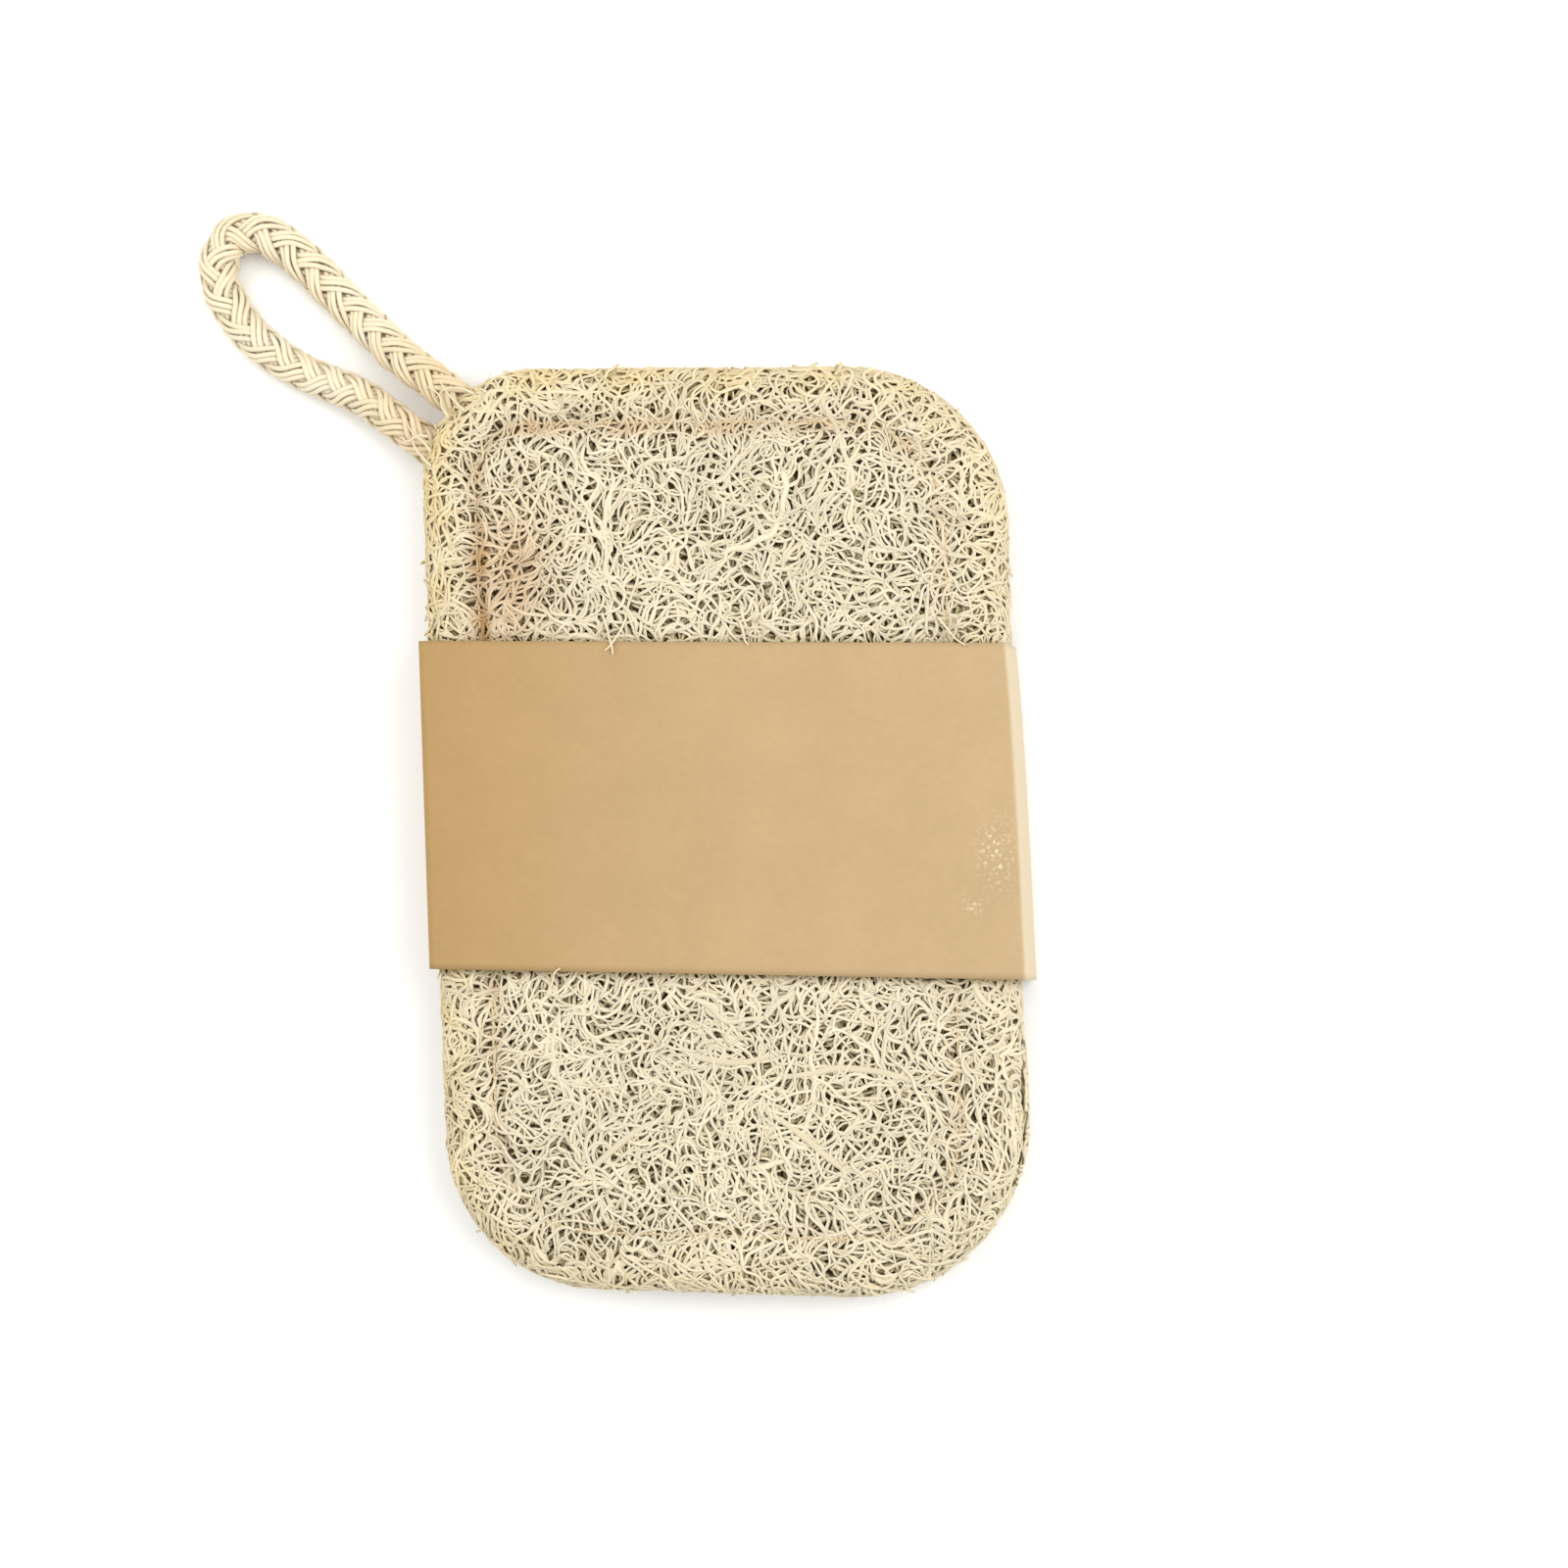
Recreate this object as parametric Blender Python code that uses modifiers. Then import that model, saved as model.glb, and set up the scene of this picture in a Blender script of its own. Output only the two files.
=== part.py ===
"""Scrub pad of two pressed loofah layers, sewn all round, with a cord loop and a paper band.

The pad lies on its back: +X to the right, +Y towards the loop, +Z out of the front face.
"""

import math
import random

import bmesh
import bpy
from mathutils import Vector

mm = 0.001

# Pad outline: a rounded four-sided shape whose upright sides lean to the left.
HALF_LENGTH = 54.7 * mm
LEFT_AT_MIDDLE = -34.8 * mm
RIGHT_AT_MIDDLE = 34.3 * mm
LEFT_LEAN = 0.058
RIGHT_LEAN = 0.042
RADIUS_TOP_LEFT = 12.5 * mm
RADIUS_TOP_RIGHT = 17.0 * mm
RADIUS_BOTTOM_RIGHT = 20.0 * mm
RADIUS_BOTTOM_LEFT = 19.0 * mm
CORNER_STEPS = 14
SIDE_STEPS = 8

# Levels above the table.
BAND_THICKNESS = 0.4 * mm
GLUE = 0.05 * mm
GAP = 0.3 * mm
LAYER_THICKNESS = 4.5 * mm
NET_HEIGHT = 0.5 * mm
BACK_TOP = 2 * BAND_THICKNESS + GLUE + GAP + NET_HEIGHT + LAYER_THICKNESS
FRONT_BOTTOM = BACK_TOP + GAP
SEAM_LEVEL = BACK_TOP + GAP / 2
FRONT_FACE = FRONT_BOTTOM + LAYER_THICKNESS

# Edge of a layer, from its flat face out and down: distance in from the outline, height.
EDGE_PROFILE = (
    (4.6 * mm, 4.50 * mm),
    (2.7 * mm, 4.20 * mm),
    (1.2 * mm, 3.40 * mm),
    (0.3 * mm, 2.30 * mm),
    (0.0 * mm, 1.10 * mm),
    (0.5 * mm, 0.00 * mm),
)

# Raised net of fibres on a layer.
FIBRE_RADIUS = 0.62 * mm
FIBRE_SUNK = 0.12 * mm
FIBRES_PER_LAYER = 62
FIBRE_POINTS = 10
FIBRE_STEP = 2.8 * mm
FIBRE_HEADINGS = (0.4, 1.5, 2.6)
FIBRE_REACH_DOWN = 4.2 * mm

# Sewn groove and its threads.
GROOVE_INSET = 7.0 * mm
GROOVE_WIDTH = 2.6 * mm
GROOVE_DEPTH = 1.4 * mm
THREAD_RADIUS = 0.3 * mm

# Cord loop: x and y of its middle line in mm, and its lift, from 0 where it lies on the
# table to 1 between the layers, where both ends are sewn in.
CORD_RADIUS = 2.4 * mm
CORD_ROUTE = (
    (-26.6, 45.4, 1.0),
    (-30.6, 48.6, 1.0),
    (-34.3, 51.5, 1.0),
    (-37.9, 54.2, 0.9),
    (-42.3, 57.5, 0.55),
    (-46.2, 61.0, 0.15),
    (-50.0, 64.5, 0.0),
    (-53.8, 68.2, 0.0),
    (-57.2, 71.0, 0.0),
    (-60.6, 72.7, 0.0),
    (-63.8, 72.2, 0.0),
    (-65.5, 69.6, 0.0),
    (-65.2, 66.0, 0.0),
    (-62.8, 61.9, 0.0),
    (-59.6, 58.6, 0.0),
    (-56.0, 56.2, 0.0),
    (-52.2, 54.4, 0.05),
    (-48.2, 52.8, 0.3),
    (-44.8, 51.0, 0.6),
    (-41.6, 48.7, 0.9),
    (-38.2, 46.3, 1.0),
    (-33.6, 42.6, 1.0),
    (-28.6, 38.4, 1.0),
)

# Paper band: upper and lower edge, and how far its bulging sides reach at those edges.
BAND_TOP = 21.7 * mm
BAND_BOTTOM = -17.3 * mm
BAND_STATIONS = 9
BAND_CORNER = 1.4 * mm
BAND_BULGE = 1.0 * mm
BAND_LEFT_TOP = -37.2 * mm
BAND_LEFT_BOTTOM = -35.0 * mm
BAND_RIGHT_TOP = 34.5 * mm
BAND_RIGHT_BOTTOM = 37.0 * mm
BAND_FRONT_INNER = FRONT_FACE + NET_HEIGHT + GAP
FLAP_OUTER_END = 22.0 * mm
FLAP_INNER_END = 6.0 * mm
GLUE_MARGIN = 1.5 * mm

FIBRE_COLOUR = (0.66, 0.56, 0.38, 1.0)
THREAD_COLOUR = (0.55, 0.45, 0.31, 1.0)
CORD_COLOUR = (0.84, 0.76, 0.58, 1.0)
KRAFT_COLOUR = (0.58, 0.42, 0.24, 1.0)


def clear_scene():
    for item in list(bpy.data.objects):
        bpy.data.objects.remove(item, do_unlink=True)


def make_material(name, colour, roughness):
    material = bpy.data.materials.new(name)
    material.use_nodes = True
    shader = material.node_tree.nodes["Principled BSDF"]
    shader.inputs["Base Color"].default_value = colour
    shader.inputs["Roughness"].default_value = roughness
    material.diffuse_color = colour
    return material


def finish(item, material, sharp_angle=35):
    """Gives a finished solid its material and smooth shading between its sharp edges."""
    item.data.materials.clear()
    item.data.materials.append(material)
    item.data.shade_smooth()
    item.data.set_sharp_from_angle(angle=math.radians(sharp_angle))


def new_collection(name, hidden=False):
    collection = bpy.data.collections.new(name)
    bpy.context.scene.collection.children.link(collection)
    collection.hide_render = hidden
    return collection


def pad_corners():
    """Sharp corners of the outline, counterclockwise from the bottom right, with their radii."""
    h = HALF_LENGTH
    return (
        ((RIGHT_AT_MIDDLE + RIGHT_LEAN * h, -h), RADIUS_BOTTOM_RIGHT),
        ((RIGHT_AT_MIDDLE - RIGHT_LEAN * h, h), RADIUS_TOP_RIGHT),
        ((LEFT_AT_MIDDLE - LEFT_LEAN * h, h), RADIUS_TOP_LEFT),
        ((LEFT_AT_MIDDLE + LEFT_LEAN * h, -h), RADIUS_BOTTOM_LEFT),
    )


def outline(inset, corner_steps=CORNER_STEPS, side_steps=SIDE_STEPS):
    """Points of the outline moved in by inset; every inset gives the same number of points."""
    corners = pad_corners()
    points = []
    for i, (corner, radius) in enumerate(corners):
        here = Vector(corner)
        before = (Vector(corners[i - 1][0]) - here).normalized()
        after = (Vector(corners[(i + 1) % 4][0]) - here).normalized()
        half_angle = before.angle(after) / 2
        middle = here + (before + after).normalized() * radius / math.sin(half_angle)
        start = math.atan2(*reversed(here + before * radius / math.tan(half_angle) - middle))
        turn = math.pi - 2 * half_angle
        arc = []
        for k in range(corner_steps + 1):
            angle = start + turn * k / corner_steps
            arc.append(middle + Vector((math.cos(angle), math.sin(angle))) * (radius - inset))
        if points:
            points += fill_between(points[-1], arc[0], side_steps)
        points += arc
    points += fill_between(points[-1], points[0], side_steps)
    return points


def fill_between(a, b, steps):
    return [a.lerp(b, k / steps) for k in range(1, steps)]


def loft(name, rings, cap_ends=True):
    """Closed mesh object through rings of equal point count."""
    mesh = bmesh.new()
    rows = [[mesh.verts.new(point) for point in ring] for ring in rings]
    count = len(rows[0])
    pairs = list(zip(rows, rows[1:]))
    if not cap_ends:
        pairs.append((rows[-1], rows[0]))
    for lower, upper in pairs:
        for i in range(count):
            j = (i + 1) % count
            mesh.faces.new((lower[i], lower[j], upper[j], upper[i]))
    if cap_ends:
        mesh.faces.new(rows[0])
        mesh.faces.new(rows[-1])
    bmesh.ops.recalc_face_normals(mesh, faces=mesh.faces)
    data = bpy.data.meshes.new(name)
    mesh.to_mesh(data)
    mesh.free()
    return bpy.data.objects.new(name, data)


def layer_body(name, flat_level, up):
    """Pressed layer: flat against the seam, its edge rounded over towards the open face."""
    rings = []
    for inset, height in reversed(EDGE_PROFILE):
        level = flat_level + up * height
        rings.append([(p.x, p.y, level) for p in outline(inset)])
    return loft(name, rings)


def edge_position(run):
    """Inset and height on the edge profile at a distance run outward from its inner end."""
    for (inset_a, height_a), (inset_b, height_b) in zip(EDGE_PROFILE, EDGE_PROFILE[1:]):
        length = math.hypot(inset_b - inset_a, height_b - height_a)
        if run <= length:
            share = run / length
            return inset_a + (inset_b - inset_a) * share, height_a + (height_b - height_a) * share
        run -= length
    return EDGE_PROFILE[-1]


def nearest_on_outline(point, border):
    """Nearest border point and its outward direction."""
    best = None
    for i, a in enumerate(border):
        b = border[(i + 1) % len(border)]
        side = b - a
        share = max(0.0, min(1.0, (point - a).dot(side) / side.length_squared))
        foot = a + side * share
        distance = (point - foot).length
        if best is None or distance < best[0]:
            outward = Vector((side.y, -side.x)).normalized()
            best = (distance, foot, outward)
    return best[1], best[2]


def on_surface(point, border, flat_level, up):
    """Wraps a point of the flat net over the layer's edge and sinks it in the surface."""
    foot, outward = nearest_on_outline(point, border)
    inset = (foot - point).dot(outward)
    run = EDGE_PROFILE[0][0] - inset
    if run <= 0:
        return Vector((point.x, point.y, flat_level + up * (EDGE_PROFILE[0][1] - FIBRE_SUNK)))
    inset, height = edge_position(run)
    place = foot - outward * (inset + FIBRE_SUNK)
    return Vector((place.x, place.y, flat_level + up * max(height - FIBRE_SUNK, 0.7 * mm)))


def open_start(chance, taken):
    """Of some random places outside the band's cover, the one farthest from the fibres so far."""
    best = None
    for _ in range(16):
        place = Vector((chance.uniform(-39, 38), chance.uniform(-57, 57))) * mm
        if BAND_BOTTOM + 3 * mm < place.y < BAND_TOP - 3 * mm:
            continue
        room = min([(place - other).length for other in taken], default=1.0)
        if best is None or room > best[0]:
            best = (room, place)
    return best[1]


def fibre_route(chance, border, taken):
    """One curved fibre over the flat net, its bend changing slowly along it."""
    place = open_start(chance, taken)
    heading = chance.choice(FIBRE_HEADINGS) + chance.uniform(-0.45, 0.45)
    bend = chance.uniform(-0.09, 0.09)
    route = []
    for _ in range(FIBRE_POINTS):
        foot, outward = nearest_on_outline(place, border)
        if (place - foot).dot(outward) > FIBRE_REACH_DOWN:
            break
        route.append(place.copy())
        heading += bend * FIBRE_STEP / mm
        bend += chance.uniform(-0.03, 0.03)
        place += Vector((math.cos(heading), math.sin(heading))) * FIBRE_STEP
    return route


def curve_to_mesh(name, points, radius, bevel_resolution, closed=False, radii=None):
    """Round tube along points, made as a poly curve and turned into a closed mesh."""
    curve = bpy.data.curves.new(name, "CURVE")
    curve.dimensions = "3D"
    curve.bevel_depth = radius
    curve.bevel_resolution = bevel_resolution
    curve.use_fill_caps = not closed
    spline = curve.splines.new("POLY")
    spline.points.add(len(points) - 1)
    for i, point in enumerate(points):
        spline.points[i].co = (*point, 1.0)
        spline.points[i].radius = radii[i] if radii else 1.0
    spline.use_cyclic_u = closed
    holder = bpy.data.objects.new(name + "_curve", curve)
    bpy.context.scene.collection.objects.link(holder)
    bpy.context.view_layer.update()
    depsgraph = bpy.context.evaluated_depsgraph_get()
    data = bpy.data.meshes.new_from_object(holder.evaluated_get(depsgraph))
    data.name = name
    bpy.data.objects.remove(holder, do_unlink=True)
    mesh = bmesh.new()
    mesh.from_mesh(data)
    bmesh.ops.remove_doubles(mesh, verts=mesh.verts, dist=0.00001)
    bmesh.ops.recalc_face_normals(mesh, faces=mesh.faces)
    mesh.to_mesh(data)
    mesh.free()
    return bpy.data.objects.new(name, data)


def apply_modifiers(item):
    bpy.context.view_layer.update()
    depsgraph = bpy.context.evaluated_depsgraph_get()
    data = bpy.data.meshes.new_from_object(item.evaluated_get(depsgraph))
    item.modifiers.clear()
    item.data = data


def join_collection(body, pieces):
    """Fuses every piece of the collection with the body in one union."""
    union = body.modifiers.new("Union", "BOOLEAN")
    union.operation = "UNION"
    union.operand_type = "COLLECTION"
    union.collection = pieces
    union.solver = "EXACT"
    apply_modifiers(body)
    for item in list(pieces.objects):
        bpy.data.objects.remove(item, do_unlink=True)


def cut(body, cutter):
    difference = body.modifiers.new("Cut " + cutter.name, "BOOLEAN")
    difference.operation = "DIFFERENCE"
    difference.object = cutter
    difference.solver = "EXACT"
    apply_modifiers(body)


def keep_largest(item):
    """Drops loose scraps that a cut has parted from the body and merges near points."""
    mesh = bmesh.new()
    mesh.from_mesh(item.data)
    bmesh.ops.remove_doubles(mesh, verts=mesh.verts, dist=0.0000005)
    bmesh.ops.dissolve_degenerate(mesh, edges=mesh.edges, dist=0.0000005)
    groups = []
    waiting = set(mesh.verts)
    while waiting:
        start = waiting.pop()
        group = {start}
        edge_of_group = [start]
        while edge_of_group:
            vertex = edge_of_group.pop()
            for edge in vertex.link_edges:
                other = edge.other_vert(vertex)
                if other not in group:
                    group.add(other)
                    edge_of_group.append(other)
        waiting -= group
        groups.append(group)
    groups.sort(key=len)
    for group in groups[:-1]:
        bmesh.ops.delete(mesh, geom=list(group), context="VERTS")
    bmesh.ops.triangulate(mesh, faces=mesh.faces)
    mesh.to_mesh(item.data)
    mesh.free()


def loofah_layer(name, flat_level, up, seed, parts, net, cutters, material):
    body = layer_body(name, flat_level, up)
    parts.objects.link(body)
    border = outline(0.0, 8, 4)
    chance = random.Random(seed)
    taken = []
    made = 0
    while made < FIBRES_PER_LAYER:
        route = fibre_route(chance, border, taken)
        if len(route) < 4:
            continue
        taken += route[::2]
        points = [on_surface(point, border, flat_level, up) for point in route]
        radii = [0.72 + 0.36 * math.sin(math.pi * (k + 0.5) / len(points)) for k in range(len(points))]
        fibre = curve_to_mesh(f"{name}_fibre_{made:02d}", points, FIBRE_RADIUS, 0, radii=radii)
        net.objects.link(fibre)
        made += 1
    join_collection(body, net)
    for cutter in cutters:
        cut(body, cutter)
    keep_largest(body)
    finish(body, material)


def groove_ring(name, face_level, up):
    """Rounded trough that the seam presses into a face, as a swept cutter."""
    section = []
    for k in range(7):
        angle = math.pi * k / 6
        section.append((math.cos(angle) * GROOVE_WIDTH / 2, -math.sin(angle) * GROOVE_DEPTH))
    section += [(-GROOVE_WIDTH / 2, 2 * mm), (GROOVE_WIDTH / 2, 2 * mm)]
    rings = []
    for offset, depth in section:
        level = face_level + up * depth
        rings.append([(p.x, p.y, level) for p in outline(GROOVE_INSET + offset)])
    return loft(name, rings, cap_ends=False)


def seam_thread(name, face_level, up, parts, material):
    """Closed ring of thread along the bottom of a groove, clear of it by the gap."""
    level = face_level - up * (GROOVE_DEPTH - GAP - THREAD_RADIUS)
    points = [(p.x, p.y, level) for p in outline(GROOVE_INSET, 10, 4)]
    thread = curve_to_mesh(name, points, THREAD_RADIUS, 1, closed=True)
    finish(thread, material)
    parts.objects.link(thread)


def smooth_route(points, steps):
    """Catmull-Rom curve through the points, steps to each span."""
    points = [Vector(p) for p in points]
    ends = [points[0] * 2 - points[1]] + points + [points[-1] * 2 - points[-2]]
    route = []
    for a, b, c, d in zip(ends, ends[1:], ends[2:], ends[3:]):
        for k in range(steps):
            t = k / steps
            route.append(
                0.5 * (2 * b + (c - a) * t + (2 * a - 5 * b + 4 * c - d) * t * t
                       + (3 * b - a - 3 * c + d) * t * t * t)
            )
    route.append(points[-1])
    return route


def cord_points():
    lying = CORD_RADIUS + 0.1 * mm
    return smooth_route(
        [(x * mm, y * mm, lying + (SEAM_LEVEL - lying) * lift) for x, y, lift in CORD_ROUTE], 3
    )


def hanging_loop(parts, material):
    cord = curve_to_mesh("hanging_loop", cord_points(), CORD_RADIUS, 3)
    finish(cord, material)
    parts.objects.link(cord)


def cord_cutter():
    """Channel for the cord ends, wider and longer than the cord by the gap."""
    points = cord_points()
    first = points[0] + (points[0] - points[1]).normalized() * (GAP + 0.05 * mm)
    last = points[-1] + (points[-1] - points[-2]).normalized() * (GAP + 0.05 * mm)
    return curve_to_mesh("cord_channel", [first] + points + [last], CORD_RADIUS + GAP + 0.05 * mm, 2)


def bulging_side(start, end, bulge):
    """Points between two folds, bowed outwards where the paper passes round the pad."""
    points = []
    for k in (1, 2, 3):
        x = start[0] + (end[0] - start[0]) * k / 4
        z = start[1] + (end[1] - start[1]) * k / 4
        points.append((x + bulge * math.sin(math.pi * k / 4), z))
    return points


def band_section(share):
    """Middle line of the paper round the pad, from the inner flap's end to the outer flap's.

    share is 0 at the band's lower edge and 1 at its upper edge.
    """
    half = BAND_THICKNESS / 2
    left = BAND_LEFT_BOTTOM + (BAND_LEFT_TOP - BAND_LEFT_BOTTOM) * share + half + BAND_BULGE
    right = BAND_RIGHT_BOTTOM + (BAND_RIGHT_TOP - BAND_RIGHT_BOTTOM) * share - half - BAND_BULGE
    top = BAND_FRONT_INNER + half
    inner_flap = 3 * half + GLUE
    corners = (
        (right - BAND_CORNER, inner_flap + BAND_CORNER, -90),
        (right - BAND_CORNER, top - BAND_CORNER, 0),
        (left + BAND_CORNER, top - BAND_CORNER, 90),
        (left + BAND_CORNER, half + BAND_CORNER, 180),
    )
    folds = []
    for x, z, first in corners:
        angles = [math.radians(first + 15 * k) for k in range(7)]
        folds.append([(x + BAND_CORNER * math.cos(a), z + BAND_CORNER * math.sin(a)) for a in angles])
    right_side = bulging_side(folds[0][-1], folds[1][0], BAND_BULGE)
    left_side = bulging_side(folds[2][-1], folds[3][0], -BAND_BULGE)
    line = [(FLAP_INNER_END, inner_flap), (FLAP_OUTER_END, inner_flap)]
    line += folds[0] + right_side + folds[1] + folds[2] + left_side + folds[3]
    line += [(FLAP_INNER_END, half), (FLAP_OUTER_END, half)]
    return line


def paper_band(parts, glue_parts, material):
    """Sheet wound once round the pad, thickened, its flaps joined by a film of glue."""
    mesh = bmesh.new()
    rows = []
    for k in range(BAND_STATIONS):
        share = k / (BAND_STATIONS - 1)
        y = BAND_BOTTOM + (BAND_TOP - BAND_BOTTOM) * share
        rows.append([mesh.verts.new((x, y, z)) for x, z in band_section(share)])
    for lower, upper in zip(rows, rows[1:]):
        for i in range(len(lower) - 1):
            mesh.faces.new((lower[i], lower[i + 1], upper[i + 1], upper[i]))
    bmesh.ops.recalc_face_normals(mesh, faces=mesh.faces)
    data = bpy.data.meshes.new("paper_band")
    mesh.to_mesh(data)
    mesh.free()
    band = bpy.data.objects.new("paper_band", data)
    parts.objects.link(band)
    paper = band.modifiers.new("Paper", "SOLIDIFY")
    paper.thickness = BAND_THICKNESS
    paper.offset = 0.0
    paper.use_even_offset = True
    apply_modifiers(band)

    cube = bmesh.new()
    bmesh.ops.create_cube(cube, size=1.0)
    size = (
        FLAP_OUTER_END - FLAP_INNER_END - 2 * GLUE_MARGIN,
        BAND_TOP - BAND_BOTTOM - 2 * GLUE_MARGIN,
        3 * GLUE,
    )
    bmesh.ops.scale(cube, vec=size, verts=cube.verts)
    middle = (
        (FLAP_OUTER_END + FLAP_INNER_END) / 2,
        (BAND_TOP + BAND_BOTTOM) / 2,
        BAND_THICKNESS + GLUE / 2,
    )
    bmesh.ops.translate(cube, vec=middle, verts=cube.verts)
    glue_data = bpy.data.meshes.new("flap_glue")
    cube.to_mesh(glue_data)
    cube.free()
    glue = bpy.data.objects.new("flap_glue", glue_data)
    glue_parts.objects.link(glue)
    join_collection(band, glue_parts)
    finish(band, material)


def main():
    clear_scene()
    parts = new_collection("loofah_sponge")
    net = new_collection("net_fibres", hidden=True)
    glue_parts = new_collection("flap_glue", hidden=True)
    cutters = new_collection("cutters", hidden=True)
    fibre = make_material("loofah_fibre", FIBRE_COLOUR, 0.8)
    thread = make_material("seam_thread", THREAD_COLOUR, 0.7)
    cotton = make_material("cotton_cord", CORD_COLOUR, 0.85)
    kraft = make_material("kraft_paper", KRAFT_COLOUR, 0.75)

    channel = cord_cutter()
    front_groove = groove_ring("front_groove", FRONT_FACE, 1)
    back_face = BACK_TOP - LAYER_THICKNESS
    back_groove = groove_ring("back_groove", back_face, -1)
    for cutter in (channel, front_groove, back_groove):
        cutters.objects.link(cutter)
        cutter.display_type = "WIRE"
        cutter.hide_render = True

    loofah_layer("front_layer", FRONT_BOTTOM, 1, 11, parts, net, (front_groove, channel), fibre)
    loofah_layer("back_layer", BACK_TOP, -1, 23, parts, net, (back_groove, channel), fibre)
    seam_thread("needle_thread", FRONT_FACE, 1, parts, thread)
    seam_thread("bobbin_thread", back_face, -1, parts, thread)
    hanging_loop(parts, cotton)
    paper_band(parts, glue_parts, kraft)


main()
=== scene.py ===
# Looks of the loofah scrub pad: fibre web, braided cotton loop, seam thread and kraft band.
# Metres throughout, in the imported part's frame: +X right, +Y towards the loop, +Z out of the front.
import math
import bpy
import numpy as np
from mathutils import Matrix, Vector


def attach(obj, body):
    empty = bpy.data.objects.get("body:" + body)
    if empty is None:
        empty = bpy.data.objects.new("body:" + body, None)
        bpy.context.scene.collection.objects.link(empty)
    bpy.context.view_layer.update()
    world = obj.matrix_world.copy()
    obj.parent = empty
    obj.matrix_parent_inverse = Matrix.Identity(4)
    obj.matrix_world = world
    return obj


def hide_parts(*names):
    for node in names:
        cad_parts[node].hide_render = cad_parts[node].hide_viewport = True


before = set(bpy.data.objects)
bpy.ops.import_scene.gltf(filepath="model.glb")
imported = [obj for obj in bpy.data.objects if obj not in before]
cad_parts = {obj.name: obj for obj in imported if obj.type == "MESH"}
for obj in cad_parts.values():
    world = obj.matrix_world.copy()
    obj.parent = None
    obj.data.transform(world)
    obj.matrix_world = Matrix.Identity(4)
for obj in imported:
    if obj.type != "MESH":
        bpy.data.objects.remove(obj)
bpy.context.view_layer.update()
mm = 0.001

# Camera as the photograph was taken: nearly from above, leaning to the pad's right side.
photoCamera = {
    "aim": (7.3, 5.2, 9.0),  # point of the pad in the middle of the picture
    "distance": 479.0,
    "leanRight": 10.0,
    "leanDown": 2.5,
    "roll": 1.0,
    "lens": 93.4,
}


def placeCamera(spec):
    right, down = math.radians(spec["leanRight"]), math.radians(spec["leanDown"])
    backX, backY = math.sin(right), -math.sin(down)
    back = Vector((backX, backY, math.sqrt(1 - backX ** 2 - backY ** 2)))
    sideways = (-back).cross(Vector((0, 1, 0))).normalized()
    upwards = sideways.cross(-back)
    roll = math.radians(spec["roll"])
    across = sideways * math.cos(roll) + upwards * math.sin(roll)
    above = upwards * math.cos(roll) - sideways * math.sin(roll)
    camera = bpy.data.objects.new("photoCamera", bpy.data.cameras.new("photoCamera"))
    camera.data.lens = spec["lens"]
    camera.data.clip_start = 0.01
    turn = Matrix((across, above, back)).transposed().to_4x4()
    camera.matrix_world = Matrix.Translation((Vector(spec["aim"]) + back * spec["distance"]) * mm) @ turn
    bpy.context.scene.collection.objects.link(camera)
    bpy.context.scene.camera = camera


placeCamera(photoCamera)
print("camera placed")


# Shared helpers: colour, nodes, meshes.
def toLinear(colour):
    channels = [int(colour[i:i + 2], 16) / 255 for i in (1, 3, 5)]
    return [c / 12.92 if c <= 0.04045 else ((c + 0.055) / 1.055) ** 2.4 for c in channels] + [1.0]


def addNode(material, kind, inputs=None, **settings):
    node = material.node_tree.nodes.new("ShaderNode" + kind)
    for name, value in settings.items():
        setattr(node, name, value)
    for socket, value in (inputs or {}).items():
        if isinstance(value, bpy.types.NodeSocket):
            material.node_tree.links.new(value, node.inputs[socket])
        else:
            node.inputs[socket].default_value = value
    return node


def setStops(ramp, stops):
    while len(ramp.color_ramp.elements) < len(stops):
        ramp.color_ramp.elements.new(0.5)
    for element, (place, colour) in zip(ramp.color_ramp.elements, stops):
        element.position = place
        element.color = toLinear(colour)
    return ramp.outputs["Color"]


def startMaterial(name, roughness, ior):
    material = bpy.data.materials.new(name)
    material.use_nodes = True
    shader = material.node_tree.nodes["Principled BSDF"]
    shader.inputs["Roughness"].default_value = roughness
    shader.inputs["IOR"].default_value = ior
    return material, shader


def finishMaterial(material, shader, colour, height, strength, depth):
    # Joins the colour and a bump, its depth in mm, to the shader.
    bump = addNode(material, "Bump", {"Height": height, "Strength": strength, "Distance": depth * mm})
    material.node_tree.links.new(colour, shader.inputs["Base Color"])
    material.node_tree.links.new(bump.outputs["Normal"], shader.inputs["Normal"])


def toneParts(material):
    # The four tones that a mesh carries at its points.
    tone = addNode(material, "Attribute", attribute_name="webTone")
    parts = addNode(material, "SeparateColor", {"Color": tone.outputs["Color"]}).outputs
    return parts["Red"], parts["Green"], parts["Blue"], tone.outputs["Alpha"]


def heading(angles):
    return np.stack([np.cos(angles), np.sin(angles)], axis=1)


def perMetre(millimetres):
    return 1 / (millimetres * mm)


def makeObject(name, points, faces, material, tones=None):
    data = bpy.data.meshes.new(name)
    data.from_pydata(points, [], faces)
    data.shade_smooth()
    if tones is not None:
        layer = data.attributes.new("webTone", "FLOAT_COLOR", "POINT")
        layer.data.foreach_set("color", np.asarray(tones, dtype=np.float32).ravel())
    data.materials.append(material)
    item = bpy.data.objects.new(name, data)
    bpy.context.scene.collection.objects.link(item)
    return item


def gridFaces(rows, columns, closed):
    # Faces between rows of points; the last column joins the first where the rows are closed.
    faces = []
    for r in range(rows - 1):
        for i in range(columns if closed else columns - 1):
            j = (i + 1) % columns
            faces.append((r * columns + i, r * columns + j, (r + 1) * columns + j, (r + 1) * columns + i))
    return faces


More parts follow.
